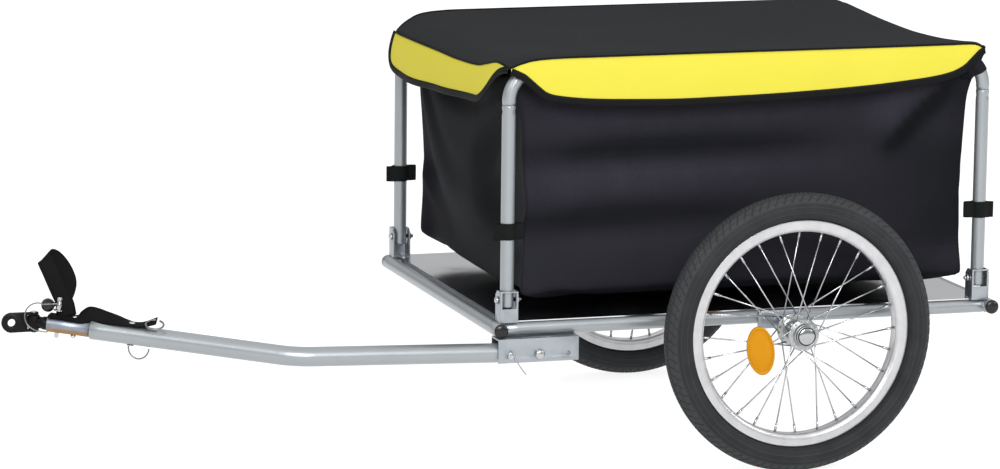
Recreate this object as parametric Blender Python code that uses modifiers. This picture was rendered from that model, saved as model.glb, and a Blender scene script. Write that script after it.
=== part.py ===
"""Bicycle cargo trailer: tube frame with folding hoops, cloth box and cover, folding drawbar.

Metres. +X is the way the trailer is towed, +Y its left side, +Z up. The floor is Z = 0.
Every piece is placed from the middle of the wheel axle. The empty "trailer" moves the whole
trailer along X, so that the origin lies under the middle of its length.
"""
import math

import bmesh
import bpy
from mathutils import Matrix, Vector

# Clearances
GAP = 0.0003                 # between pieces that touch
TURN_GAP = 0.0006            # round pins and bolts

# Sides of round pieces
TUBE_SIDES = 14
PIN_SIDES = 10
WIRE_RESOLUTION = 1

# Frame rails
RAIL_R = 0.010
RAIL_WALL = 0.0015
FRAME_WIDTH = 0.560          # cross rails, end to end
FRONT_RAIL_X = 0.413
REAR_RAIL_X = -0.325
RAIL_Z = 0.2055
SIDE_RAIL_Y = FRAME_WIDTH / 2 - 0.016
PLUG_DOME = 0.004
PLUG_FLANGE = 0.0015
PLUG_DEPTH = 0.018

# Floor panel
FLOOR_THICK = 0.0015
FLOOR_WIDTH = FRAME_WIDTH - 0.020
FLOOR_LIP = 0.012
FLOOR_EDGE_GAP = 0.0005

# Foot brackets and their bolts
BRACKET_X = 0.026
BRACKET_Y = 0.0245
BRACKET_Z = 0.044
BRACKET_WALL = 0.002
BRACKET_WINDOW_X = 0.0202
BRACKET_WINDOW_Z = 0.0225
FRONT_POST_X = 0.400
REAR_POST_X = -0.308
POST_Y = SIDE_RAIL_Y
FOLD_BOLT_Z = 0.2465
FOLD_BOLT_R = 0.003
FOLD_BOLT_HEAD_R = 0.0052
FOLD_BOLT_HEAD = 0.0035
FOLD_BOLT_TIP = 0.0035

# Hoops
POST_R = 0.0095
POST_WALL = 0.0014
POST_BELOW_BOLT = 0.011      # from the bolt's axis down to the end of the post
BOW_Z = 0.568                # axis of the top of the hoop
POST_TOP_Z = BOW_Z - 0.049
BOW_BEND = 0.044
SPIGOT = 0.024

# Wheels
WHEEL_R = 0.1975
WHEEL_Y = SIDE_RAIL_Y + 0.086                # middle plane of the wheel
TYRE_SECTION_R = 0.0235
TYRE_WALL = 0.0035
RIM_R = WHEEL_R - 0.0365
RIM_LIP = 0.0025
RIM_INSIDE_HALF = 0.013
RIM_SEAT_R = RIM_R - 0.0088
RIM_WALL_R = RIM_SEAT_R - 0.0052
RIM_INNER_R = RIM_WALL_R - 0.0037
RIM_INNER_HALF = 0.008
WHEEL_STEPS = 36
HUB_STEPS = 16
SPOKES = 28
SPOKE_R = 0.001
SPOKE_CIRCLE_R = 0.0195
SPOKE_RIM_HALF = 0.002
SPOKE_END_GAP = 0.0013       # allows for the rim's flat facets
SPOKE_SIDE_STEP = 0.0012     # spokes leave each flange on its two faces
FLANGE_R = 0.0225
FLANGE_HALF = 0.022          # from the wheel's middle plane to the middle of a hub flange
FLANGE_THICK = 0.003
HUB_BARREL_R = 0.012
HUB_END_R = 0.0165
HUB_HALF = 0.031
BEARING_R = 0.014
BEARING_WIDTH = 0.0078
AXLE_R = 0.006
AXLE_COLLAR_R = 0.009
AXLE_HEAD_R = 0.0146
AXLE_HEAD = 0.0033
BUTTON_R = 0.0119
BUTTON_DOME = 0.0019
BUTTON_SKIRT = 0.0010
BUTTON_TRAVEL = 0.0012
BUTTON_GUIDE_R = 0.003        # spigot in the axle's head that the button slides on
BUTTON_GUIDE = 0.0018
REFLECTOR_X = 0.0618
REFLECTOR_Z = -0.0198
REFLECTOR_LONG = 0.070
REFLECTOR_SHORT = 0.039
REFLECTOR_THICK = 0.005
REFLECTOR_TURN = math.radians(-4.0)
REFLECTOR_SINK = 0.0010      # crossed spokes lie lower than a straight line from flange to rim

# Axle receivers
RECEIVER_LONG = 0.064
RECEIVER_PLATE = 0.004
RECEIVER_DROP = 0.0075       # plate's lower edge below the axle
RECEIVER_RISE = 0.018        # plate's upper edge above the axle
BOSS_R = 0.011
BOSS_LONG = 0.0217
RECEIVER_BOLT_X = 0.0215
RECEIVER_BOLT_R = 0.004
RECEIVER_BOLT_HEAD = 0.003

# Drawbar bracket
CHANNEL_REAR_X = 0.302
CHANNEL_LONG = 0.117
CHANNEL_WALL = 0.002
CHANNEL_SIDE_GAP = 0.001
CHANNEL_BELOW = 0.0105       # below the drawbar's pivot
PIVOT_X = 0.359
PIVOT_Z = 0.1722
PIVOT_BOLT_R = 0.004
PIVOT_HEAD_R = 0.0072
PIVOT_HEAD = 0.0045
LOCK_PIN_AHEAD = 0.042       # pin and spare hole, before and behind the pivot
LOCK_PIN_R = 0.003
LOCK_HEAD_R = 0.0055
LOCK_HEAD = 0.004
CLIP_WIRE = 0.0009
CHANNEL_SLOT = 0.042
CHANNEL_SLOT_WIDTH = 0.006

# Drawbar
BAR_Y = SIDE_RAIL_Y + 0.0085
BAR_R = 0.0135
BAR_WALL = 0.002
BAR_BEHIND = 0.012           # behind the pivot
BEND_X = 0.705
BEND_Z = 0.1826
BEND_R = 0.110
HITCH_END = Vector((1.0163, 0.120, 0.2155))      # mouth of the coupling tube
COUPLING_R = 0.011
COUPLING_WALL = 0.002
COUPLING_SHOWN = 0.061
COUPLING_INSIDE = 0.062
TUBE_PIN_BACK = 0.057        # from the main tube's end back to its pin
TUBE_PIN_R = 0.003
TUBE_PIN_HEAD_R = 0.0050
TUBE_PIN_FOOT = 0.0015
HALF_RING_R = 0.0145
HALF_RING_WIRE = 0.0009
COUPLING_PIN_BACK = 0.0135   # from the tube's mouth back to the coupling pin
COUPLING_PIN_R = 0.003
COUPLING_PIN_STUB = 0.007
COUPLING_PIN_LIFT = 0.009    # from the tube's top to the underside of the head
COUPLING_HEAD_R = 0.0042
COUPLING_HEAD = 0.0195
KNOB_R = 0.0085
KNOB_AHEAD = 0.0153
SNAP_RING_R = 0.023
SNAP_RING_WIRE = 0.0008
SNAP_RING_SIDE = 0.0190      # beside the tube's middle
SNAP_RING_DROP = 0.0245      # ring's middle below the middle of the pin's head
NECK_R = 0.0082
NECK_OUT = 0.0195            # from the tube's mouth to the knuckle's axis
NECK_HALF = 0.0092
KNUCKLE_PIN_R = 0.0025
EYE_THICK = 0.005
EYE_LONG = 0.0315            # knuckle's axis to the hole
EYE_R = 0.0140
EYE_HOLE_R = 0.0055
EYE_EAR = 0.0038
EYE_EAR_R = 0.0065

# Safety strap
STRAP_WIDTH = 0.022
STRAP_THICK = 0.0022
STRAP_HUMP = 0.017
LOOP_WIDTH = 0.024
LOOP_HIGH = 0.081
D_RING_R = 0.0095
D_RING_WIRE = 0.0012

# Cloth box, cover and ties
CLOTH = 0.002
BAG_FRONT_X = 0.377
BAG_REAR_X = -0.294
BAG_HALF_Y = POST_Y - 0.0125
BAG_BOTTOM_Z = 0.246
BAG_HEM = 0.022
BAG_SLEEVE_FRONT_X = 0.335
BAG_SLEEVE_REAR_X = -0.250
BAG_FOLD = 0.0035
COVER_SAG = 0.006
COVER_FLARE = 0.004
COVER_SLIT_FRONT_X = 0.374
COVER_SLIT_REAR_X = -0.293
COVER_SIDE_DROP = 0.060
COVER_END_DROP = 0.062
COVER_SLANT = 0.075
TIE_FRONT_Z = 0.343
TIE_REAR_Z = 0.346
TIE_HEIGHT = 0.023
TIE_THICK = 0.002
TIE_TAIL = 0.020

# Worked out from the sizes above
RAIL_TOP = RAIL_Z + RAIL_R
HALF_WIDTH = FRAME_WIDTH / 2
FLOOR_TOP = RAIL_TOP + GAP + FLOOR_THICK
BRACKET_Z0 = RAIL_TOP + GAP
BRACKET_OUT_Y = POST_Y + POST_BELOW_BOLT + BRACKET_WALL
BAR_FRONT_DIRECTION = (HITCH_END - Vector((BEND_X, BAR_Y, BEND_Z))).normalized()
BAR_LEFT = Vector((0, 0, 1)).cross(BAR_FRONT_DIRECTION).normalized()
BAR_UP = BAR_FRONT_DIRECTION.cross(BAR_LEFT)
BOSS_FACE_Y = SIDE_RAIL_Y + RAIL_R + GAP + RECEIVER_PLATE + BOSS_LONG
KNUCKLE = HITCH_END + BAR_FRONT_DIRECTION * NECK_OUT
FRONT_REACH = KNUCKLE.x + EYE_LONG + EYE_R
REAR_REACH = max(-REAR_RAIL_X + RAIL_R, -REAR_POST_X + POST_R + GAP + TIE_TAIL)
AXLE_X = (REAR_REACH - FRONT_REACH) / 2

for old in list(bpy.data.objects):
    bpy.data.objects.remove(old, do_unlink=True)

part = bpy.data.collections.new("bicycle_trailer")
tools = bpy.data.collections.new("cutters")
bpy.context.scene.collection.children.link(part)
bpy.context.scene.collection.children.link(tools)


def material(name, colour, roughness, metallic=0.0):
    """Principled material with a flat colour."""
    made = bpy.data.materials.new(name)
    made.use_nodes = True
    shader = made.node_tree.nodes["Principled BSDF"]
    shader.inputs["Base Color"].default_value = (*colour, 1.0)
    shader.inputs["Roughness"].default_value = roughness
    shader.inputs["Metallic"].default_value = metallic
    made.diffuse_color = (*colour, 1.0)
    return made


SILVER = material("silver_paint", (0.55, 0.57, 0.60), 0.32, 0.85)
SHEET = material("sheet_metal", (0.72, 0.73, 0.75), 0.18, 0.95)
ZINC = material("zinc_steel", (0.62, 0.63, 0.64), 0.30, 1.0)
ALUMINIUM = material("rim_aluminium", (0.75, 0.76, 0.78), 0.35, 0.9)
BLACK_STEEL = material("black_steel", (0.015, 0.015, 0.017), 0.35, 0.2)
BLACK_PLASTIC = material("black_plastic", (0.02, 0.02, 0.02), 0.30)
RUBBER = material("tyre_rubber", (0.025, 0.025, 0.027), 0.75)
AMBER = material("amber_lens", (0.85, 0.30, 0.01), 0.25)
WEBBING = material("black_webbing", (0.012, 0.012, 0.013), 0.9)
BAG_CLOTH = material("black_cloth", (0.018, 0.018, 0.022), 0.85)
COVER_CLOTH = material("cover_cloth", (0.03, 0.03, 0.034), 0.8)


def joint(name, place, parent):
    """Empty on a joint's axis; moving pieces are parented to it."""
    empty = bpy.data.objects.new(name, None)
    part.objects.link(empty)
    empty.empty_display_size = 0.02
    empty["at"] = tuple(place)
    if parent is None:
        empty.location = place
    else:
        empty.parent = parent
        empty.location = Vector(place) - Vector(parent["at"])
    return empty


TRAILER = joint("trailer", (AXLE_X, 0.0, 0.0), None)
TRAILER["at"] = (0.0, 0.0, 0.0)


def hang(piece, paint, parent=TRAILER):
    """Give a piece its material and carry it by a joint's empty."""
    piece.data.materials.clear()
    piece.data.materials.append(paint)
    piece.parent = parent
    piece.location = Vector(piece.location) - Vector(parent["at"])
    return piece


def mesh_piece(name, shape):
    """Object from a bmesh."""
    bmesh.ops.recalc_face_normals(shape, faces=shape.faces)
    mesh = bpy.data.meshes.new(name)
    shape.to_mesh(mesh)
    shape.free()
    made = bpy.data.objects.new(name, mesh)
    part.objects.link(made)
    return made


def block(name, low, high):
    """Box between two corners, with its origin in its middle."""
    low = Vector(low)
    high = Vector(high)
    shape = bmesh.new()
    bmesh.ops.create_cube(shape, size=1.0)
    bmesh.ops.scale(shape, verts=shape.verts, vec=high - low)
    made = mesh_piece(name, shape)
    made.location = (low + high) / 2
    return made


def rod(name, start, end, radius, sides=TUBE_SIDES):
    """Round bar from one point to another."""
    start = Vector(start)
    end = Vector(end)
    shape = bmesh.new()
    bmesh.ops.create_cone(shape, cap_ends=True, segments=sides, radius1=radius, radius2=radius,
                          depth=(end - start).length)
    made = mesh_piece(name, shape)
    made.location = (start + end) / 2
    made.rotation_euler = (end - start).to_track_quat("Z", "Y").to_euler()
    return made


def turned(name, profile, place, axis, steps=TUBE_SIDES, ring=False):
    """Profile of (radius, height) points, top to bottom on the outside, turned about its axis."""
    mesh = bpy.data.meshes.new(name)
    edges = [(i, i + 1) for i in range(len(profile) - 1)]
    if ring:
        edges.append((len(profile) - 1, 0))
    mesh.from_pydata([(radius, 0.0, height) for radius, height in profile], edges, [])
    made = bpy.data.objects.new(name, mesh)
    part.objects.link(made)
    screw = made.modifiers.new("turn", "SCREW")
    screw.axis = "Z"
    screw.steps = steps
    screw.render_steps = steps
    screw.use_merge_vertices = True
    screw.merge_threshold = 0.00001
    made.location = place
    made.rotation_euler = Vector(axis).to_track_quat("Z", "Y").to_euler()
    return made


def rounded(corners, bend, steps=8):
    """Route through the corners, each turned into an arc of the bend's radius."""
    route = [Vector(corners[0])]
    for before, corner, after in zip(corners, corners[1:], corners[2:]):
        corner = Vector(corner)
        back = (Vector(before) - corner).normalized()
        on = (Vector(after) - corner).normalized()
        half = back.angle(on) / 2
        centre = corner + (back + on).normalized() * bend / math.sin(half)
        first = corner + back * bend / math.tan(half) - centre
        last = corner + on * bend / math.tan(half) - centre
        route += [centre + first.slerp(last, i / steps) * bend for i in range(steps + 1)]
    return route + [Vector(corners[-1])]


def pipe(name, route, radius, scales=None, resolution=6):
    """Round tube or wire along a route, as a closed mesh."""
    curve = bpy.data.curves.new(name, "CURVE")
    curve.dimensions = "3D"
    curve.bevel_depth = radius
    curve.bevel_resolution = resolution
    curve.use_fill_caps = True
    spline = curve.splines.new("POLY")
    spline.points.add(len(route) - 1)
    for i, point in enumerate(route):
        spline.points[i].co = (*point, 1.0)
        spline.points[i].radius = scales[i] if scales else 1.0
    line = bpy.data.objects.new(name + "_line", curve)
    mesh = bpy.data.meshes.new_from_object(line)
    bpy.data.objects.remove(line)
    bpy.data.curves.remove(curve)
    shape = bmesh.new()
    shape.from_mesh(mesh)
    bpy.data.meshes.remove(mesh)
    bmesh.ops.remove_doubles(shape, verts=shape.verts, dist=0.00001)
    return mesh_piece(name, shape)


def plate(name, outline, thick, place=(0, 0, 0), turn=None):
    """Flat outline in XY, thick along Z about its middle."""
    shape = bmesh.new()
    rim = [shape.verts.new((x, y, -thick / 2)) for x, y in outline]
    face = shape.faces.new(rim)
    grown = bmesh.ops.extrude_face_region(shape, geom=[face])
    raised = [v for v in grown["geom"] if isinstance(v, bmesh.types.BMVert)]
    bmesh.ops.translate(shape, verts=raised, vec=(0, 0, thick))
    made = mesh_piece(name, shape)
    made.location = place
    if turn is not None:
        made.rotation_euler = turn.to_euler()
    return made


def arc(centre_x, centre_y, radius, start, end, steps):
    """Points on a circle, angles in degrees."""
    angles = [math.radians(start + (end - start) * i / steps) for i in range(steps + 1)]
    return [(centre_x + radius * math.cos(a), centre_y + radius * math.sin(a)) for a in angles]


def use(piece, tool, operation):
    """Cut a tool out of a piece, or weld it on; the tool itself isn't kept as a piece."""
    part.objects.unlink(tool)
    tools.objects.link(tool)
    tool.hide_render = True
    tool.display_type = "WIRE"
    change = piece.modifiers.new(tool.name, "BOOLEAN")
    change.object = tool
    change.operation = operation
    change.solver = "EXACT"
    tool.parent = TRAILER
    return piece


def cut(piece, tool):
    return use(piece, tool, "DIFFERENCE")


def weld(piece, tool):
    return use(piece, tool, "UNION")


def on_bar(back, left=0.0, up=0.0):
    """Point on the drawbar's front length, measured back from the coupling tube's mouth."""
    return HITCH_END - BAR_FRONT_DIRECTION * back + BAR_LEFT * left + BAR_UP * up


SIDES = (("left", 1), ("right", -1))

# Frame rails: the side rails butt against the cross rails, whose open ends take plugs.
for end, x in (("front", FRONT_RAIL_X), ("rear", REAR_RAIL_X)):
    cross = rod(end + "_cross_rail", (x, -HALF_WIDTH, RAIL_Z), (x, HALF_WIDTH, RAIL_Z), RAIL_R)
    cut(cross, rod(end + "_cross_bore", (x, -HALF_WIDTH - 0.005, RAIL_Z), (x, HALF_WIDTH + 0.005, RAIL_Z),
                   RAIL_R - RAIL_WALL))
    for side, s in SIDES:
        stem = RAIL_R - RAIL_WALL - GAP
        seat = HALF_WIDTH + GAP
        dome = [(RAIL_R * math.cos(a), PLUG_FLANGE + PLUG_DOME * math.sin(a))
                for a in [math.radians(d) for d in (0, 30, 60)]]
        profile = [(0, PLUG_FLANGE + PLUG_DOME)] + dome[::-1] + [(RAIL_R, 0), (stem, 0),
                                                                 (stem, -PLUG_DEPTH), (0, -PLUG_DEPTH)]
        plug = turned(end + "_" + side + "_rail_plug", profile, (x, s * seat, RAIL_Z), (0, s, 0))
        hang(plug, BLACK_PLASTIC)
    hang(cross, SILVER)

for side, s in SIDES:
    rail = rod(side + "_side_rail", (REAR_RAIL_X, s * SIDE_RAIL_Y, RAIL_Z),
               (FRONT_RAIL_X, s * SIDE_RAIL_Y, RAIL_Z), RAIL_R)
    for end, x in (("front", FRONT_RAIL_X), ("rear", REAR_RAIL_X)):
        saddle = rod(side + end + "_saddle", (x, s * SIDE_RAIL_Y - 0.02, RAIL_Z),
                     (x, s * SIDE_RAIL_Y + 0.02, RAIL_Z), RAIL_R + GAP, 2 * TUBE_SIDES)
        cut(rail, saddle)
    cut(rail, rod(side + "_side_bore", (REAR_RAIL_X, s * SIDE_RAIL_Y, RAIL_Z),
                  (FRONT_RAIL_X, s * SIDE_RAIL_Y, RAIL_Z), RAIL_R - RAIL_WALL))
    hang(rail, SILVER)

# Floor panel: one bent sheet on the side rails, notched round the foot brackets.
floor_front = FRONT_RAIL_X - RAIL_R - FLOOR_EDGE_GAP
floor_rear = REAR_RAIL_X + RAIL_R + FLOOR_EDGE_GAP
floor = block("floor_panel", (floor_rear, -FLOOR_WIDTH / 2, FLOOR_TOP - FLOOR_THICK),
              (floor_front, FLOOR_WIDTH / 2, FLOOR_TOP))
for end, x, inward in (("front", floor_front, -1), ("rear", floor_rear, 1)):
    lip_y = SIDE_RAIL_Y - RAIL_R - 0.002
    lip_x = sorted((x, x + inward * FLOOR_THICK))
    weld(floor, block(end + "_lip", (lip_x[0], -lip_y, FLOOR_TOP - FLOOR_THICK - FLOOR_LIP),
                      (lip_x[1], lip_y, FLOOR_TOP - FLOOR_THICK / 2)))
for end, post_x, inward in (("front", FRONT_POST_X, -1), ("rear", REAR_POST_X, 1)):
    for side, s in SIDES:
        notch_x = sorted((post_x + inward * (BRACKET_X / 2 + 0.001), post_x - inward * 0.05))
        notch_y = sorted((s * (BRACKET_OUT_Y - BRACKET_Y - 0.001), s * FLOOR_WIDTH))
        cut(floor, block(end + side + "_notch", (notch_x[0], notch_y[0], FLOOR_TOP - 0.004),
                         (notch_x[1], notch_y[1], FLOOR_TOP + 0.01)))
hang(floor, SHEET)


def foot_bracket(name, post_x, s):
    """Channel that opens inward, with a window for the post's end and holes for its bolt."""
    out_y = s * BRACKET_OUT_Y
    in_y = s * (BRACKET_OUT_Y - BRACKET_Y)
    top = BRACKET_Z0 + BRACKET_Z
    low_y, high_y = sorted((out_y, in_y))
    made = block(name, (post_x - BRACKET_X / 2, low_y, BRACKET_Z0), (post_x + BRACKET_X / 2, high_y, top))
    inner_y = sorted((s * (BRACKET_OUT_Y - BRACKET_WALL), in_y - s * 0.01))
    inner_x = BRACKET_X / 2 - BRACKET_WALL
    cut(made, block(name + "_space", (post_x - inner_x, inner_y[0], BRACKET_Z0 + BRACKET_WALL),
                    (post_x + inner_x, inner_y[1], top + 0.01)))
    window_y = sorted((out_y - s * 0.5 * BRACKET_Y, out_y + s * 0.01))
    cut(made, block(name + "_window",
                    (post_x - BRACKET_WINDOW_X / 2, window_y[0], FOLD_BOLT_Z - BRACKET_WINDOW_Z / 2),
                    (post_x + BRACKET_WINDOW_X / 2, window_y[1], FOLD_BOLT_Z + BRACKET_WINDOW_Z / 2)))
    cut(made, rod(name + "_bolt_hole", (post_x - BRACKET_X, s * POST_Y, FOLD_BOLT_Z),
                  (post_x + BRACKET_X, s * POST_Y, FOLD_BOLT_Z), FOLD_BOLT_R + GAP, PIN_SIDES))
    corner = rod(name + "_round", (post_x - BRACKET_X, in_y, top), (post_x + BRACKET_X, in_y, top), 0.007, 4)
    cut(made, corner)
    return hang(made, ZINC)


def fold_bolt(name, post_x, s, outward):
    """Bolt through bracket and post, its head outward and its nut toward the box's middle."""
    half = BRACKET_X / 2 + GAP
    r = FOLD_BOLT_R
    head = FOLD_BOLT_HEAD_R
    profile = [(0, half + FOLD_BOLT_HEAD), (head * 0.7, half + FOLD_BOLT_HEAD), (head, half + FOLD_BOLT_HEAD * 0.6),
               (head, half), (r, half), (r, -half), (head, -half), (head, -half - FOLD_BOLT_HEAD),
               (r, -half - FOLD_BOLT_HEAD), (r, -half - FOLD_BOLT_HEAD - FOLD_BOLT_TIP),
               (0, -half - FOLD_BOLT_HEAD - FOLD_BOLT_TIP)]
    made = turned(name, profile, (post_x, s * POST_Y, FOLD_BOLT_Z), (outward, 0, 0), PIN_SIDES)
    return hang(made, ZINC)


for side, s in SIDES:
    for end, post_x, outward in (("front", FRONT_POST_X, 1), ("rear", REAR_POST_X, -1)):
        foot_bracket(side + "_" + end + "_foot_bracket", post_x, s)
        fold_bolt(side + "_" + end + "_fold_bolt", post_x, s, outward)


def hoop(side, s):
    """Two posts and a bent top bow that plugs into them; all turn about the fold bolts."""
    y = s * POST_Y
    fold = joint(side + "_hoop_fold", (0.0, y, FOLD_BOLT_Z), TRAILER)
    for end, x in (("front", FRONT_POST_X), ("rear", REAR_POST_X)):
        low = FOLD_BOLT_Z - POST_BELOW_BOLT
        post = rod(side + "_" + end + "_post", (x, y, low), (x, y, POST_TOP_Z), POST_R)
        cut(post, rod(side + end + "_post_bore", (x, y, low - 0.01), (x, y, POST_TOP_Z + 0.01), POST_R - POST_WALL))
        cut(post, rod(side + end + "_post_hole", (x - 0.02, y, FOLD_BOLT_Z), (x + 0.02, y, FOLD_BOLT_Z),
                      FOLD_BOLT_R + TURN_GAP, PIN_SIDES))
        hang(post, SILVER, fold)
    seat = POST_TOP_Z + GAP
    thin = (POST_R - POST_WALL - GAP) / POST_R
    corners = [(FRONT_POST_X, y, seat), (FRONT_POST_X, y, BOW_Z), (REAR_POST_X, y, BOW_Z), (REAR_POST_X, y, seat)]
    bend = rounded(corners, BOW_BEND, 5)
    route = ([Vector((FRONT_POST_X, y, seat - SPIGOT)), Vector((FRONT_POST_X, y, seat - 0.00001))] + bend
             + [Vector((REAR_POST_X, y, seat - 0.00001)), Vector((REAR_POST_X, y, seat - SPIGOT))])
    scales = [thin, thin] + [1.0] * (len(route) - 4) + [thin, thin]
    bow = pipe(side + "_top_bow", route, POST_R, scales, TUBE_SIDES // 2 - 2)
    below = Vector((0, 0, -SPIGOT - 0.005))
    cut(bow, pipe(side + "_bow_bore", [bend[0] + below] + bend[1:-1] + [bend[-1] + below],
                  POST_R * thin - POST_WALL, None, 2))
    hang(bow, SILVER, fold)
    return fold


HOOP_FOLD = {side: hoop(side, s) for side, s in SIDES}


def wheel(side, s):
    """Wheel on a push-button axle that plugs into a receiver on the side rail."""
    middle = Vector((0, s * WHEEL_Y, WHEEL_R))
    out = (0, s, 0)
    axle_joint = joint(side + "_axle_release", middle, TRAILER)
    spin = joint(side + "_wheel_spin", middle, axle_joint)

    section_r = WHEEL_R - TYRE_SECTION_R
    crown = [(section_r + TYRE_SECTION_R * math.sin(a), TYRE_SECTION_R * math.cos(a))
             for a in [math.radians(-30 + 30 * i) for i in range(9)]]
    inner_r = TYRE_SECTION_R - TYRE_WALL
    inside = [(section_r + inner_r * math.sin(a), inner_r * math.cos(a))
              for a in [math.radians(205 - 46 * i) for i in range(6)]]
    bead = RIM_INSIDE_HALF - GAP
    lip = RIM_INSIDE_HALF + RIM_LIP + GAP
    foot = bead - TYRE_WALL
    tyre_profile = (crown + [(RIM_R + GAP, -lip), (RIM_R + GAP, -bead), (RIM_SEAT_R + GAP, -bead),
                             (RIM_SEAT_R + GAP, -foot), (RIM_R, -foot)] + inside
                    + [(RIM_R, foot), (RIM_SEAT_R + GAP, foot), (RIM_SEAT_R + GAP, bead), (RIM_R + GAP, bead),
                       (RIM_R + GAP, lip)])
    hang(turned(side + "_tyre", tyre_profile, middle, out, WHEEL_STEPS, True), RUBBER, spin)

    half = RIM_INSIDE_HALF + RIM_LIP
    rim_profile = [(RIM_R, half), (RIM_R, RIM_INSIDE_HALF), (RIM_SEAT_R, RIM_INSIDE_HALF),
                   (RIM_SEAT_R, -RIM_INSIDE_HALF), (RIM_R, -RIM_INSIDE_HALF), (RIM_R, -half),
                   (RIM_WALL_R, -half + 0.001), (RIM_INNER_R, -RIM_INNER_HALF), (RIM_INNER_R, RIM_INNER_HALF),
                   (RIM_WALL_R, half - 0.001)]
    hang(turned(side + "_rim", rim_profile, middle, out, WHEEL_STEPS, True), ALUMINIUM, spin)

    ft = FLANGE_THICK / 2
    bore = AXLE_R + 2 * TURN_GAP
    seat = HUB_HALF - BEARING_WIDTH - 2 * GAP
    outer = [(HUB_END_R - 0.001, HUB_HALF), (HUB_END_R, HUB_HALF - 0.001), (HUB_END_R, FLANGE_HALF + ft),
             (FLANGE_R, FLANGE_HALF + ft), (FLANGE_R, FLANGE_HALF - ft), (HUB_BARREL_R, FLANGE_HALF - ft - 0.004)]
    inner = [(bore, -seat), (bore, seat), (BEARING_R + GAP, seat), (BEARING_R + GAP, HUB_HALF)]
    hub_profile = (outer + [(r, -h) for r, h in outer[::-1]]
                   + [(BEARING_R + GAP, -HUB_HALF), (BEARING_R + GAP, -seat)] + inner)
    hub = turned(side + "_hub", hub_profile, middle, out, HUB_STEPS, True)
    shape = bmesh.new()
    for i in range(SPOKES):
        flange = 1 if i % 2 == 0 else -1
        lead = 1 if (i // 2) % 2 == 0 else -1
        hole = 2 * math.pi * i / SPOKES
        reach = hole + lead * 4 * math.pi * 2 / SPOKES
        start = Vector((SPOKE_CIRCLE_R * math.cos(hole), SPOKE_CIRCLE_R * math.sin(hole),
                        flange * (FLANGE_HALF + lead * SPOKE_SIDE_STEP)))
        rim_end = RIM_INNER_R - SPOKE_END_GAP
        end = Vector((rim_end * math.cos(reach), rim_end * math.sin(reach), flange * SPOKE_RIM_HALF))
        line = end - start
        turn = line.to_track_quat("Z", "Y").to_matrix().to_4x4()
        bmesh.ops.create_cone(shape, cap_ends=True, segments=4, radius1=SPOKE_R, radius2=SPOKE_R,
                              depth=line.length, matrix=Matrix.Translation((start + end) / 2) @ turn)
    spokes = mesh_piece(side + "_spokes", shape)
    spokes.location = middle
    spokes.rotation_euler = Vector(out).to_track_quat("Z", "Y").to_euler()
    weld(hub, spokes)
    hang(hub, ZINC, spin)

    ring_r = AXLE_R + TURN_GAP
    for place, h in (("outer", HUB_HALF - BEARING_WIDTH / 2 - GAP), ("inner", -HUB_HALF + BEARING_WIDTH / 2 + GAP)):
        b = BEARING_WIDTH / 2
        profile = [(BEARING_R, b), (BEARING_R, -b), (ring_r, -b), (ring_r, b)]
        ring = turned(side + "_" + place + "_bearing", profile, middle + Vector((0, s * h, 0)), out, HUB_STEPS, True)
        hang(ring, ZINC, spin)

    boss = BOSS_FACE_Y - WHEEL_Y
    tip = SIDE_RAIL_Y + RAIL_R + GAP + RECEIVER_PLATE + 3 * GAP - WHEEL_Y
    head = HUB_HALF + GAP
    cup_r = BUTTON_R + GAP
    floor_h = head + 0.001
    guide_top = floor_h + BUTTON_GUIDE
    axle_profile = [(0, guide_top), (BUTTON_GUIDE_R, guide_top), (BUTTON_GUIDE_R, floor_h), (cup_r, floor_h),
                    (cup_r, head + AXLE_HEAD), (AXLE_HEAD_R - 0.0006, head + AXLE_HEAD),
                    (AXLE_HEAD_R, head + AXLE_HEAD - 0.0006), (AXLE_HEAD_R, head), (AXLE_R, head),
                    (AXLE_R, -HUB_HALF - GAP), (AXLE_COLLAR_R, -HUB_HALF - GAP), (AXLE_COLLAR_R, boss + GAP),
                    (AXLE_R, boss + GAP), (AXLE_R, tip + 0.002), (AXLE_R - 0.0015, tip), (0, tip)]
    hang(turned(side + "_axle", axle_profile, middle, out, HUB_STEPS), ZINC, axle_joint)

    press = joint(side + "_button_press", middle + Vector((0, s * head, 0)), axle_joint)
    under = floor_h + BUTTON_TRAVEL + GAP
    dome = [(BUTTON_R * math.cos(a), under + BUTTON_SKIRT + BUTTON_DOME * math.sin(a))
            for a in [math.radians(d) for d in (0, 35, 65)]]
    socket_r = BUTTON_GUIDE_R + GAP
    socket_top = guide_top + BUTTON_TRAVEL + GAP
    profile = ([(0, under + BUTTON_SKIRT + BUTTON_DOME)] + dome[::-1]
               + [(BUTTON_R, under), (socket_r, under), (socket_r, socket_top), (0, socket_top)])
    hang(turned(side + "_push_button", profile, middle, out, HUB_STEPS), ZINC, press)

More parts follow.
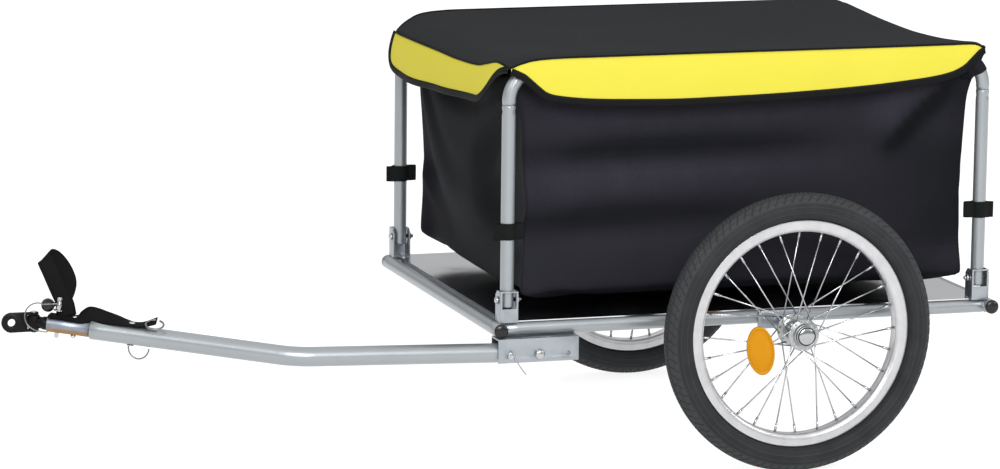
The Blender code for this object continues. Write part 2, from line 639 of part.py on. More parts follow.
    reach = math.hypot(REFLECTOR_X, REFLECTOR_Z)
    slope = math.atan2(FLANGE_HALF - SPOKE_RIM_HALF, RIM_INNER_R - SPOKE_CIRCLE_R)
    spoke_face = (FLANGE_HALF + SPOKE_SIDE_STEP + SPOKE_R - REFLECTOR_SINK
                  - math.tan(slope) * (reach - SPOKE_CIRCLE_R))
    radial = Vector((REFLECTOR_X, 0, REFLECTOR_Z)).normalized()
    face = (Vector(out) + radial * math.tan(slope)).normalized()
    upright = Matrix.Rotation(REFLECTOR_TURN, 3, Vector(out)) @ Vector((0, 0, 1))
    across = upright.cross(face).normalized()
    upright = face.cross(across)
    turn = Matrix((across, upright, face)).transposed()
    oval = [(REFLECTOR_SHORT / 2 * math.cos(a), REFLECTOR_LONG / 2 * math.sin(a))
            for a in [2 * math.pi * i / 24 for i in range(24)]]
    centre = middle + Vector((REFLECTOR_X, 0, REFLECTOR_Z)) + Vector((0, s * spoke_face, 0))
    lens = plate(side + "_reflector", oval, REFLECTOR_THICK, centre + face * (REFLECTOR_THICK / 2 + GAP), turn)
    hang(lens, AMBER, spin)

    plate_y = SIDE_RAIL_Y + RAIL_R + GAP
    low = WHEEL_R - RECEIVER_DROP
    high = WHEEL_R + RECEIVER_RISE
    corner = 0.006
    x = RECEIVER_LONG / 2
    outline = (arc(x - corner, high - corner, corner, 0, 90, 4) + arc(-x + corner, high - corner, corner, 90, 180, 4)
               + arc(-x + corner, low + corner, corner, 180, 270, 4) + arc(x - corner, low + corner, corner, 270, 360, 4))
    upright = Matrix(((1, 0, 0), (0, 0, -1), (0, 1, 0)))
    receiver = plate(side + "_axle_receiver", outline, RECEIVER_PLATE, (0, s * (plate_y + RECEIVER_PLATE / 2), 0), upright)
    weld(receiver, rod(side + "_boss", (0, s * (plate_y + 0.001), WHEEL_R), (0, s * BOSS_FACE_Y, WHEEL_R), BOSS_R))
    for x_bolt in (-RECEIVER_BOLT_X, RECEIVER_BOLT_X):
        z_bolt = WHEEL_R + (RECEIVER_RISE - RECEIVER_DROP) / 2
        weld(receiver, rod(side + "_bolt_head", (x_bolt, s * (plate_y + 0.001), z_bolt),
                           (x_bolt, s * (plate_y + RECEIVER_PLATE + RECEIVER_BOLT_HEAD), z_bolt), RECEIVER_BOLT_R, 6))
    cut(receiver, rod(side + "_axle_bore", (0, s * (plate_y + RECEIVER_PLATE + GAP), WHEEL_R),
                      (0, s * (BOSS_FACE_Y + 0.01), WHEEL_R), AXLE_R + GAP))
    hang(receiver, ZINC)


for side, s in SIDES:
    wheel(side, s)

# Drawbar bracket: inverted channel under the left side rail.
channel_half = BAR_R + CHANNEL_SIDE_GAP
channel_out = BAR_Y + channel_half + CHANNEL_WALL
channel_in = BAR_Y - channel_half - CHANNEL_WALL
channel_top = RAIL_Z - RAIL_R - GAP
channel_front_x = CHANNEL_REAR_X + CHANNEL_LONG
channel = block("drawbar_channel", (CHANNEL_REAR_X, channel_in, PIVOT_Z - CHANNEL_BELOW),
                (channel_front_x, channel_out, channel_top))
cut(channel, block("channel_space", (CHANNEL_REAR_X - 0.01, channel_in + CHANNEL_WALL, PIVOT_Z - CHANNEL_BELOW - 0.01),
                   (channel_front_x + 0.01, channel_out - CHANNEL_WALL, channel_top - CHANNEL_WALL)))
slot_x = (CHANNEL_REAR_X + channel_front_x) / 2
slot_y = channel_out - 0.007
cut(channel, block("channel_slot", (slot_x - CHANNEL_SLOT / 2, slot_y - CHANNEL_SLOT_WIDTH / 2, channel_top - 0.01),
                   (slot_x + CHANNEL_SLOT / 2, slot_y + CHANNEL_SLOT_WIDTH / 2, channel_top + 0.01)))
for name, x, radius in (("pivot", PIVOT_X, PIVOT_BOLT_R), ("pin", PIVOT_X + LOCK_PIN_AHEAD, LOCK_PIN_R),
                        ("spare", PIVOT_X - LOCK_PIN_AHEAD, LOCK_PIN_R)):
    cut(channel, rod("channel_" + name + "_hole", (x, channel_in - 0.01, PIVOT_Z), (x, channel_out + 0.01, PIVOT_Z),
                     radius + GAP, PIN_SIDES))
hang(channel, ZINC)

half = (channel_out - channel_in) / 2 + GAP
profile = [(0, half + PIVOT_HEAD), (PIVOT_HEAD_R * 0.8, half + PIVOT_HEAD), (PIVOT_HEAD_R, half + PIVOT_HEAD * 0.7),
           (PIVOT_HEAD_R, half), (PIVOT_BOLT_R, half), (PIVOT_BOLT_R, -half), (PIVOT_HEAD_R, -half),
           (PIVOT_HEAD_R, -half - PIVOT_HEAD), (0, -half - PIVOT_HEAD)]
hang(turned("drawbar_pivot_bolt", profile, (PIVOT_X, BAR_Y, PIVOT_Z), (0, 1, 0), PIN_SIDES), ZINC)

# Lock pin with its wire safety clip. Its shank stops just short of the drawbar.
LOCK_PULL = joint("lock_pin_pull", (PIVOT_X + LOCK_PIN_AHEAD, channel_out, PIVOT_Z), TRAILER)
tip = BAR_R + GAP
face = channel_half + CHANNEL_WALL + GAP
profile = [(0, face + LOCK_HEAD), (LOCK_HEAD_R * 0.75, face + LOCK_HEAD), (LOCK_HEAD_R, face + LOCK_HEAD * 0.6),
           (LOCK_HEAD_R, face), (LOCK_PIN_R, face), (LOCK_PIN_R, tip), (0, tip)]
pin = turned("lock_pin", profile, (PIVOT_X + LOCK_PIN_AHEAD, BAR_Y, PIVOT_Z), (0, 1, 0), PIN_SIDES)
clip_y = BAR_Y + face + LOCK_HEAD + CLIP_WIRE * 0.5
clip_x = PIVOT_X + LOCK_PIN_AHEAD
clip = [(clip_x + 0.0035, clip_y, PIVOT_Z - 0.004), (clip_x + 0.0030, clip_y, PIVOT_Z + 0.0035),
        (clip_x - 0.0030, clip_y, PIVOT_Z + 0.0035), (clip_x - 0.0060, clip_y, PIVOT_Z - 0.006),
        (clip_x - 0.0120, clip_y, PIVOT_Z - 0.016), (clip_x - 0.0210, clip_y, PIVOT_Z - 0.027)]
weld(pin, pipe("lock_pin_clip", rounded(clip, 0.002, 2), CLIP_WIRE, None, WIRE_RESOLUTION))
hang(pin, ZINC, LOCK_PULL)

# Drawbar: bent tube that folds down and back about its pivot bolt.
DRAWBAR_FOLD = joint("drawbar_fold", (PIVOT_X, BAR_Y, PIVOT_Z), TRAILER)
rise = (BEND_Z - PIVOT_Z) / (BEND_X - PIVOT_X)
rear_end = Vector((PIVOT_X - BAR_BEHIND, BAR_Y, PIVOT_Z - rise * BAR_BEHIND))
bar_front = on_bar(COUPLING_SHOWN)
bar = pipe("drawbar_tube", rounded([rear_end, (BEND_X, BAR_Y, BEND_Z), bar_front], BEND_R, 7), BAR_R, None, 6)
cut(bar, rod("drawbar_pivot_hole", (PIVOT_X, BAR_Y - 0.03, PIVOT_Z), (PIVOT_X, BAR_Y + 0.03, PIVOT_Z),
             PIVOT_BOLT_R + TURN_GAP, PIN_SIDES))
bend_half = BAR_FRONT_DIRECTION.angle(Vector((1, 0, rise))) / 2
bend_reach = BEND_R * math.tan(bend_half) + 0.01
front_long = (HITCH_END - Vector((BEND_X, BAR_Y, BEND_Z))).length
cut(bar, rod("drawbar_front_bore", on_bar(front_long - bend_reach), on_bar(COUPLING_SHOWN - 0.01), COUPLING_R + GAP, 16))
cut(bar, rod("drawbar_rear_bore", rear_end - Vector((0.01, 0, rise * 0.01)),
             Vector((BEND_X - bend_reach, BAR_Y, BEND_Z - rise * bend_reach)), BAR_R - BAR_WALL, 16))
pin_back = COUPLING_SHOWN + TUBE_PIN_BACK
cut(bar, rod("drawbar_pin_hole", on_bar(pin_back, 0, -0.03), on_bar(pin_back, 0, 0.03), TUBE_PIN_R + GAP, PIN_SIDES))
hang(bar, SILVER, DRAWBAR_FOLD)

coupling = rod("coupling_tube", on_bar(COUPLING_SHOWN + COUPLING_INSIDE), on_bar(0), COUPLING_R, 16)
cut(coupling, rod("coupling_bore", on_bar(COUPLING_SHOWN + COUPLING_INSIDE + 0.01), on_bar(-0.01),
                  COUPLING_R - COUPLING_WALL, 16))
cut(coupling, rod("coupling_pin_hole", on_bar(COUPLING_PIN_BACK, 0, -0.03), on_bar(COUPLING_PIN_BACK, 0, 0.03),
                  COUPLING_PIN_R + GAP, PIN_SIDES))
cut(coupling, rod("coupling_tube_pin_hole", on_bar(pin_back, 0, -0.03), on_bar(pin_back, 0, 0.03),
                  TUBE_PIN_R + GAP, PIN_SIDES))
hang(coupling, ALUMINIUM, DRAWBAR_FOLD)

# Pin that holds the coupling tube in the drawbar, with its half ring below.
strap_low = BAR_R + GAP
strap_high = strap_low + STRAP_THICK
pin_top = strap_high + GAP
pin_low = -BAR_R - GAP
profile = [(0, pin_top + 0.002), (TUBE_PIN_HEAD_R * 0.7, pin_top + 0.002), (TUBE_PIN_HEAD_R, pin_top + 0.001),
           (TUBE_PIN_HEAD_R, pin_top), (TUBE_PIN_R, pin_top), (TUBE_PIN_R, pin_low), (TUBE_PIN_HEAD_R, pin_low),
           (TUBE_PIN_HEAD_R, pin_low - TUBE_PIN_FOOT), (0, pin_low - TUBE_PIN_FOOT)]
hang(turned("tube_pin", profile, on_bar(pin_back), BAR_UP, PIN_SIDES), ZINC, DRAWBAR_FOLD)
ring_level = pin_low - TUBE_PIN_FOOT - 3 * GAP
ring_back = pin_back + HALF_RING_R - TUBE_PIN_HEAD_R / 2
RING_SWING = joint("half_ring_swing", on_bar(ring_back, 0, ring_level), DRAWBAR_FOLD)
half_ring = [on_bar(ring_back - HALF_RING_R * math.cos(a), 0, ring_level - HALF_RING_R * 1.1 * math.sin(a))
             for a in [math.pi * i / 12 for i in range(13)]]
hang(pipe("half_ring", half_ring, HALF_RING_WIRE, None, WIRE_RESOLUTION), ZINC, RING_SWING)

# Coupling pin with ball knob and wire snap ring.
PIN_PULL = joint("coupling_pin_pull", on_bar(COUPLING_PIN_BACK), DRAWBAR_FOLD)
head_low = COUPLING_R + COUPLING_PIN_LIFT
head_top = head_low + COUPLING_HEAD
stub = -COUPLING_R - COUPLING_PIN_STUB
profile = [(0, head_top), (COUPLING_HEAD_R * 0.75, head_top), (COUPLING_HEAD_R, head_top - 0.0012),
           (COUPLING_HEAD_R, head_low), (COUPLING_PIN_R, head_low), (COUPLING_PIN_R, stub + 0.001),
           (COUPLING_PIN_R - 0.001, stub), (0, stub)]
pull_pin = turned("coupling_pin", profile, on_bar(COUPLING_PIN_BACK), BAR_UP, PIN_SIDES)
head_mid = (head_low + head_top) / 2
knob_end = COUPLING_HEAD_R / 2
ball = [(KNOB_R * math.cos(a), KNOB_AHEAD + KNOB_R * math.sin(a)) for a in [math.radians(d) for d in (60, 30, 0, -30, -60)]]
stem = KNOB_R * math.cos(math.radians(70))
profile = ([(0, KNOB_AHEAD + KNOB_R)] + ball + [(stem, KNOB_AHEAD - KNOB_R * math.sin(math.radians(70))),
                                                (stem, knob_end), (0, knob_end)])
weld(pull_pin, turned("pin_knob", profile, on_bar(COUPLING_PIN_BACK, 0, head_mid), BAR_FRONT_DIRECTION))
hang(pull_pin, ZINC, PIN_PULL)

snap_left = COUPLING_HEAD_R + 4 * GAP
snap_level = head_mid + KNOB_R * 0.35
SNAP = joint("snap_ring_swing", on_bar(COUPLING_PIN_BACK, snap_left, snap_level), PIN_PULL)
snap_mid = head_mid - SNAP_RING_DROP
snap_ahead = SNAP_RING_R * 0.89
route = [on_bar(COUPLING_PIN_BACK, snap_left - GAP, snap_level),
         on_bar(COUPLING_PIN_BACK, SNAP_RING_SIDE * 0.84, snap_level)]
route += [on_bar(COUPLING_PIN_BACK - snap_ahead - SNAP_RING_R * math.cos(a), SNAP_RING_SIDE,
                 snap_mid + SNAP_RING_R * math.sin(a))
          for a in [math.radians(108 - 14 * i) for i in range(16)]]
hang(pipe("snap_ring", route, SNAP_RING_WIRE, None, WIRE_RESOLUTION), ZINC, SNAP)

# Hitch: neck in the coupling tube's mouth, and the eye plate whose fork turns on the neck's end.
neck_tail = COUPLING_PIN_BACK - COUPLING_PIN_R - TURN_GAP
neck = rod("hitch_neck", on_bar(neck_tail), on_bar(-NECK_OUT), NECK_R)
upward = Vector((0, 0, 1))
weld(neck, rod("neck_end", KNUCKLE - upward * NECK_HALF, KNUCKLE + upward * NECK_HALF, NECK_R))
cut(neck, rod("neck_hole", KNUCKLE - upward * 0.02, KNUCKLE + upward * 0.02, KNUCKLE_PIN_R + TURN_GAP, PIN_SIDES))
hang(neck, BLACK_STEEL, DRAWBAR_FOLD)

HITCH_YAW = joint("hitch_yaw", KNUCKLE, DRAWBAR_FOLD)
ear_low = NECK_HALF + TURN_GAP
ear_high = ear_low + EYE_EAR
eye_start = NECK_R + TURN_GAP * 2
eye_outline = (arc(EYE_LONG, 0, EYE_R, -100, 100, 10)
               + [(eye_start + 0.006, ear_high), (0, ear_high), (0, ear_low), (eye_start, ear_low)]
               + [(eye_start, -ear_low), (0, -ear_low), (0, -ear_high), (eye_start + 0.006, -ear_high)])
upright = Matrix(((1, 0, 0), (0, 0, -1), (0, 1, 0)))
eye = plate("hitch_eye", eye_outline, EYE_THICK, KNUCKLE, upright)
for low, high, radius in ((ear_low, ear_high, EYE_EAR_R), (-ear_high, -ear_low, EYE_EAR_R),
                          (-ear_high + 0.001, ear_high - 0.001, KNUCKLE_PIN_R)):
    weld(eye, rod("eye_ear", KNUCKLE + upward * low, KNUCKLE + upward * high, radius, PIN_SIDES))
hole = KNUCKLE + Vector((EYE_LONG, 0, 0))
cut(eye, rod("eye_hole", hole - Vector((0, 0.02, 0)), hole + Vector((0, 0.02, 0)), EYE_HOLE_R, 16))
hang(eye, BLACK_STEEL, HITCH_YAW)


def strip(name, route, widths, width, thick):
    """Flat webbing: a rectangle swept along a route, its width along the given directions."""
    shape = bmesh.new()
    rings = []
    for i, (point, across) in enumerate(zip(route, widths)):
        run = (route[min(i + 1, len(route) - 1)] - route[max(i - 1, 0)]).normalized()
        wide = (Vector(across) - run * run.dot(Vector(across))).normalized()
        out = run.cross(wide) * thick / 2
        wide = wide * width / 2
        rings.append([shape.verts.new(point + a) for a in (wide + out, wide - out, -wide - out, -wide + out)])
    for low, high in zip(rings, rings[1:]):
        for j in range(4):
            k = (j + 1) % 4
            shape.faces.new((low[j], low[k], high[k], high[j]))
    shape.faces.new(rings[0][::-1])
    shape.faces.new(rings[-1])
    return mesh_piece(name, shape)


# Safety strap: webbing along the top of the tubes, held by both pins, with a standing loop.
over_coupling = COUPLING_R + GAP + STRAP_THICK / 2
over_bar = BAR_R + GAP + STRAP_THICK / 2
w = STRAP_WIDTH
lying = [on_bar(COUPLING_PIN_BACK - w * 0.57, 0, over_coupling), on_bar(COUPLING_PIN_BACK + w * 1.02, 0, over_coupling),
         on_bar(COUPLING_PIN_BACK + w * 1.48, 0, over_coupling + w * 0.18),
         on_bar(COUPLING_PIN_BACK + w * 2.11, 0, over_coupling + STRAP_HUMP),
         on_bar(COUPLING_PIN_BACK + w * 2.48, 0, over_coupling + STRAP_HUMP - w * 0.05),
         on_bar(pin_back - w * 0.73, 0, over_bar + w * 0.02), on_bar(pin_back - w * 0.36, 0, over_bar),
         on_bar(pin_back + w * 0.36, 0, over_bar), on_bar(pin_back + w * 0.73, 0, over_bar + w * 0.14),
         on_bar(pin_back + w * 1.05, 0, over_bar + w * 0.32)]
strap = strip("safety_strap", rounded(lying, 0.006, 2), [BAR_LEFT] * (len(lying) * 3 - 4), STRAP_WIDTH, STRAP_THICK)
loop_low = over_coupling + LOOP_WIDTH * 0.14
loop_shape = ((0.37, -0.07, 0.00), (0.38, -0.15, 0.10), (0.35, -0.19, 0.30),
              (0.26, -0.15, 0.59), (0.15, -0.20, 0.84), (0.06, -0.32, 1.00),
              (0.01, -0.42, 0.96), (0.06, -0.44, 0.77), (0.22, -0.36, 0.49),
              (0.35, -0.24, 0.27), (0.40, -0.21, 0.10))
loop = [on_bar(LOOP_HIGH * back, LOOP_HIGH * left, loop_low + LOOP_HIGH * up) for back, left, up in loop_shape]
loop_across = (BAR_FRONT_DIRECTION * 0.80 - BAR_UP * 0.25).normalized()
loop = [point - loop_across * (point - loop[0]).dot(loop_across) for point in loop]
route = rounded(loop, 0.004, 2)
standing = strip("strap_loop", route, [loop_across] * len(route), LOOP_WIDTH, STRAP_THICK)
weld(strap, standing)
cut(strap, rod("strap_pin_hole", on_bar(COUPLING_PIN_BACK, 0, 0), on_bar(COUPLING_PIN_BACK, 0, 0.03),
               COUPLING_PIN_R + TURN_GAP, PIN_SIDES))
cut(strap, rod("strap_tube_pin_hole", on_bar(pin_back, 0, 0), on_bar(pin_back, 0, 0.03), TUBE_PIN_R + TURN_GAP, PIN_SIDES))
hang(strap, WEBBING, DRAWBAR_FOLD)

# Wire ring at the strap's rear end, a little open so that it is one bent wire.
ring_mid = on_bar(pin_back + w * 1.05 + D_RING_WIRE + D_RING_R * 0.94, 0, over_bar + w * 0.35 - D_RING_R * 0.34)
ring = [ring_mid + BAR_LEFT * D_RING_R * math.sin(a) - (BAR_FRONT_DIRECTION * 0.94 + BAR_UP * 0.34) * D_RING_R * math.cos(a)
        for a in [math.radians(30 + i * 21) for i in range(16)]]
hang(pipe("strap_ring", ring, D_RING_WIRE, None, WIRE_RESOLUTION), ZINC, DRAWBAR_FOLD)


def along(start, end, steps):
    """Evenly spaced values, ends included."""
    return [start + (end - start) * i / steps for i in range(steps + 1)]


def shell(name, shape, thick):
    """Closed cloth solid from an open surface."""
    made = mesh_piece(name, shape)
    skin = made.modifiers.new("cloth", "SOLIDIFY")
    skin.thickness = thick
    skin.offset = 0.0
    skin.use_even_offset = True
    return made


def cloth_grid(columns, rows):
    """Grid of vertices, moved by the caller to (x, y) of the columns and rows."""
    shape = bmesh.new()
    bmesh.ops.create_grid(shape, x_segments=len(columns) - 1, y_segments=len(rows) - 1, size=1.0)
    for v in shape.verts:
        i = round((v.co.x + 1) / 2 * (len(columns) - 1))
        j = round((v.co.y + 1) / 2 * (len(rows) - 1))
        v.co = (columns[i], rows[j], 0.0)
    return shape


def drop_edges(shape, chosen, move):
    """Extrude the chosen edges and place each new vertex by the function; returns the new edges."""
    grown = bmesh.ops.extrude_edge_only(shape, edges=chosen)["geom"]
    for v in grown:
        if isinstance(v, bmesh.types.BMVert):
            v.co = move(v.co.copy())
    new_verts = {v for v in grown if isinstance(v, bmesh.types.BMVert)}
    return [e for e in grown if isinstance(e, bmesh.types.BMEdge) and all(v in new_verts for v in e.verts)]


# Cloth box: open at the top, hung by a sleeve over each bow, its bottom above the floor panel.
bag_top = BOW_Z + POST_R + GAP + CLOTH / 2
bag_out_y = POST_Y + POST_R + GAP + CLOTH / 2
bag_columns = [BAG_REAR_X] + along(BAG_SLEEVE_REAR_X, BAG_SLEEVE_FRONT_X, 8) + [BAG_FRONT_X]
bag_rows = along(-BAG_HALF_Y, BAG_HALF_Y, 6)
bag_low = BAG_BOTTOM_Z + CLOTH / 2
bag = cloth_grid(bag_columns, bag_rows)
bag_edge = [e for e in bag.edges if e.is_boundary]
for v in bag.verts:
    middle = math.cos(math.pi * v.co.y / (2 * BAG_HALF_Y))
    v.co.z = bag_low + (CLOTH if middle < 0.01 else 0.0)
levels = along(0.0, 1.0, 4)[1:]


def bag_level(share):
    """Wall vertex at a share of the wall's height, with soft upright folds."""
    def move(co):
        z = bag_low + CLOTH + (BOW_Z - bag_low - CLOTH) * share
        swell = math.sin(math.pi * share) * BAG_FOLD
        wave = 0.5 - 0.5 * math.cos(co.x * 21 + co.y * 17 + share * 2.0)
        base_x = min(max(co.x, BAG_REAR_X), BAG_FRONT_X)
        if abs(co.y) > BAG_HALF_Y * 0.999:
            return Vector((co.x, math.copysign(BAG_HALF_Y - swell * wave, co.y), z))
        return Vector((base_x, co.y, z))
    return move


for share in levels:
    bag_edge = drop_edges(bag, bag_edge, bag_level(share))
sleeve = [e for e in bag_edge
          if all(abs(v.co.y) > BAG_HALF_Y * 0.99 and BAG_SLEEVE_REAR_X - 0.001 < v.co.x < BAG_SLEEVE_FRONT_X + 0.001
                 for v in e.verts)]
over = [(BAG_HALF_Y + 0.0006, BOW_Z + POST_R * 0.75), (POST_Y - POST_R * 0.45, bag_top), (POST_Y + POST_R * 0.45, bag_top),
        (bag_out_y, BOW_Z + POST_R * 0.6), (bag_out_y, BOW_Z), (bag_out_y, BOW_Z - BAG_HEM)]
for y, z in over:
    sleeve = drop_edges(bag, sleeve, lambda co, y=y, z=z: Vector((co.x, math.copysign(y, co.y), z)))
hang(shell("cargo_bag", bag, CLOTH), BAG_CLOTH)

# Cover: top sheet with four skirts, slit at the corners where the hoops' bends show.
cover_top = bag_top + CLOTH + GAP
cover_front_x = FRONT_POST_X + POST_R + GAP * 2 + CLOTH / 2
cover_rear_x = REAR_POST_X - POST_R - GAP * 2 - CLOTH / 2
cover_y = bag_out_y + CLOTH + GAP
cover_columns = [cover_rear_x] + along(COVER_SLIT_REAR_X, COVER_SLIT_FRONT_X, 12) + [cover_front_x]
cover_rows = [-cover_y] + along(-POST_Y, POST_Y, 6) + [cover_y]
cover = cloth_grid(cover_columns, cover_rows)
for v in cover.verts:
    across = min(abs(v.co.y) / POST_Y, 1.0)
    v.co.z = cover_top - COVER_SAG * math.cos(math.pi / 2 * across) ** 2 * (1.0 - 0.4 * math.sin(v.co.x * 15) ** 2)
cover_edges = [e for e in cover.edges if e.is_boundary]


def side_drop(x):
    """Depth of a side skirt along the trailer: full in the middle, run out at the slits."""
    front = (COVER_SLIT_FRONT_X - x) / COVER_SLANT
    rear = (x - COVER_SLIT_REAR_X) / (COVER_SLANT * 1.6)
    share = min(front, rear, 1.0)
    return 0.010 + (COVER_SIDE_DROP - 0.010) * math.sin(math.pi / 2 * max(share, 0.0))


def end_drop(y):
    """Depth of an end skirt across the trailer: slanted toward the left corner."""
    share = min((cover_y - y) / (COVER_SLANT * 1.4), (y + cover_y) / 0.02, 1.0)
    return 0.012 + (COVER_END_DROP - 0.012) * max(share, 0.0)


side_edges = [e for e in cover_edges
              if all(abs(v.co.y) > cover_y * 0.999 and COVER_SLIT_REAR_X - 0.001 < v.co.x < COVER_SLIT_FRONT_X + 0.001
                     for v in e.verts)]
end_edges = [e for e in cover_edges
             if all(v.co.x > cover_front_x - 0.001 for v in e.verts) or all(v.co.x < cover_rear_x + 0.001 for v in e.verts)]
for share in (0.12, 0.55, 1.0):
    flare = COVER_FLARE * share
    side_edges = drop_edges(cover, side_edges, lambda co, share=share, flare=flare: Vector(
        (co.x, math.copysign(cover_y + flare, co.y), cover_top - side_drop(co.x) * share)))
    end_edges = drop_edges(cover, end_edges, lambda co, share=share, flare=flare: Vector(
        ((cover_front_x + flare) if co.x > 0 else (cover_rear_x - flare), co.y,
         cover_top - end_drop(co.y) * share)))
COVER_LIFT = joint("cover_lift", (0.0, 0.0, cover_top), TRAILER)
hang(shell("cover", cover, CLOTH), COVER_CLOTH, COVER_LIFT)

# Hook-and-loop ties: a band round each post, a tab to the box and a tail.
for side, s in SIDES:
    for end, x, z, inward in (("front", FRONT_POST_X, TIE_FRONT_Z, -1), ("rear", REAR_POST_X, TIE_REAR_Z, 1)):
        inner = POST_R + GAP
        outer = inner + TIE_THICK
        h = TIE_HEIGHT / 2
        band = turned(side + "_" + end + "_tie", [(outer, h), (outer, -h), (inner, -h), (inner, h)],
                      (x, s * POST_Y, z), (0, 0, 1), TUBE_SIDES, True)
        wall_x = BAG_FRONT_X + CLOTH / 2 + GAP if inward < 0 else BAG_REAR_X - CLOTH / 2 - GAP
        tab_x = sorted((wall_x, x + inward * (inner + TIE_THICK / 2)))
        tab_y = s * (POST_Y - POST_R / 2)
        tab = block(side + end + "_tab", (tab_x[0], tab_y - s * TIE_THICK / 2 if s > 0 else tab_y - TIE_THICK / 2, z - h),
                    (tab_x[1], tab_y + TIE_THICK / 2, z + h))
        tail_x = sorted((x - inward * (inner + TIE_THICK / 2), x - inward * (inner + TIE_TAIL)))
        tail = block(side + end + "_tail", (tail_x[0], s * POST_Y - TIE_THICK, z - h), (tail_x[1], s * POST_Y + TIE_THICK, z + h))
        weld(band, tab)
        weld(band, tail)
        hang(band, WEBBING, HOOP_FOLD[side])
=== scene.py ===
import math

import bmesh
import bpy
import numpy as np
from mathutils import Matrix, Vector


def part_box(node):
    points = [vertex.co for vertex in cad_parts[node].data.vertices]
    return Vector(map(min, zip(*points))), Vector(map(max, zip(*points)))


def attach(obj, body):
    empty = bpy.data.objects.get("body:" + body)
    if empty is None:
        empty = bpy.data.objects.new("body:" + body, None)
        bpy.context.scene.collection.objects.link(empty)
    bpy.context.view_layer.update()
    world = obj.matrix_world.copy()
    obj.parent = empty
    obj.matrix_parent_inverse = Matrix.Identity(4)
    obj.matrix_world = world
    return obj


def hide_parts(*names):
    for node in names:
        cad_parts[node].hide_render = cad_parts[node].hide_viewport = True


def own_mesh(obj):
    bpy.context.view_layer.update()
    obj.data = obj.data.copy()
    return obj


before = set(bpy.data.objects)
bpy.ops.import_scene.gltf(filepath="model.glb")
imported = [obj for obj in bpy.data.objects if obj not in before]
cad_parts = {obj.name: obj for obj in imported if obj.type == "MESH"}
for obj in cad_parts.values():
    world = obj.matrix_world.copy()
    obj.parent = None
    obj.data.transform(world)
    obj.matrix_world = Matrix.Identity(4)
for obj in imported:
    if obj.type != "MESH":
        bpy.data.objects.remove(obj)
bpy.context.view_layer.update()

# The photograph's viewpoint. A long lens, 4292 pixels over a frame 1000 pixels wide, stands about
# 5.5 m off the trailer's left side, a little ahead of the wheel, and looks down by ten degrees.
AXLE_X = (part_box("left_axle")[0][0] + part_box("left_axle")[1][0]) / 2
SENSOR, LENS_PIXELS, FRAME_PIXELS = 36.0, 4291.6, 1000
YAW, DOWN, ROLL = 0.3088, 0.1717, 0.0112
lens = bpy.data.cameras.new("photo_lens")
lens.sensor_width = SENSOR
lens.lens = SENSOR * LENS_PIXELS / FRAME_PIXELS
lens.clip_end = 60.0
camera = bpy.data.objects.new("photo_camera", lens)
bpy.context.collection.objects.link(camera)
looking = -Vector((math.sin(YAW) * math.cos(DOWN), math.cos(YAW) * math.cos(DOWN), math.sin(DOWN)))
level = looking.cross(Vector((0, 0, 1))).normalized()
upward = level.cross(looking)
camera_right = level * math.cos(ROLL) + upward * math.sin(ROLL)
camera_up = upward * math.cos(ROLL) - level * math.sin(ROLL)
turn = Matrix((camera_right, camera_up, -looking)).transposed()
camera.matrix_world = Matrix.Translation((2.1858 + AXLE_X, 5.828, 1.3514)) @ turn.to_4x4()
bpy.context.scene.camera = camera


# Studio: a pale floor that runs into a white surround, with soft light from above and from the left.
class Socket:
    """Output of a shader node. Python's operators on it add the Math nodes."""

    def __init__(self, finish, link):
        self.finish = finish
        self.link = link

    def maths(self, operation, *values):
        return self.finish.node("ShaderNodeMath", {"operation": operation}, *values)

    def __add__(self, other):
        return self.maths("ADD", self, other)

    def __radd__(self, other):
        return self.maths("ADD", other, self)

    def __sub__(self, other):
        return self.maths("SUBTRACT", self, other)

    def __rsub__(self, other):
        return self.maths("SUBTRACT", other, self)

    def __mul__(self, other):
        return self.maths("MULTIPLY", self, other)

    def __rmul__(self, other):
        return self.maths("MULTIPLY", other, self)

    def sine(self):
        return self.maths("SINE", self)

    def size(self):
        return self.maths("ABSOLUTE", self)

    def rise(self, low, high):
        """0 below low, 1 above high, and a smooth step between them."""
        made = {"interpolation_type": "SMOOTHSTEP"}
        return self.finish.node("ShaderNodeMapRange", made, self, low, high, 0.0, 1.0)


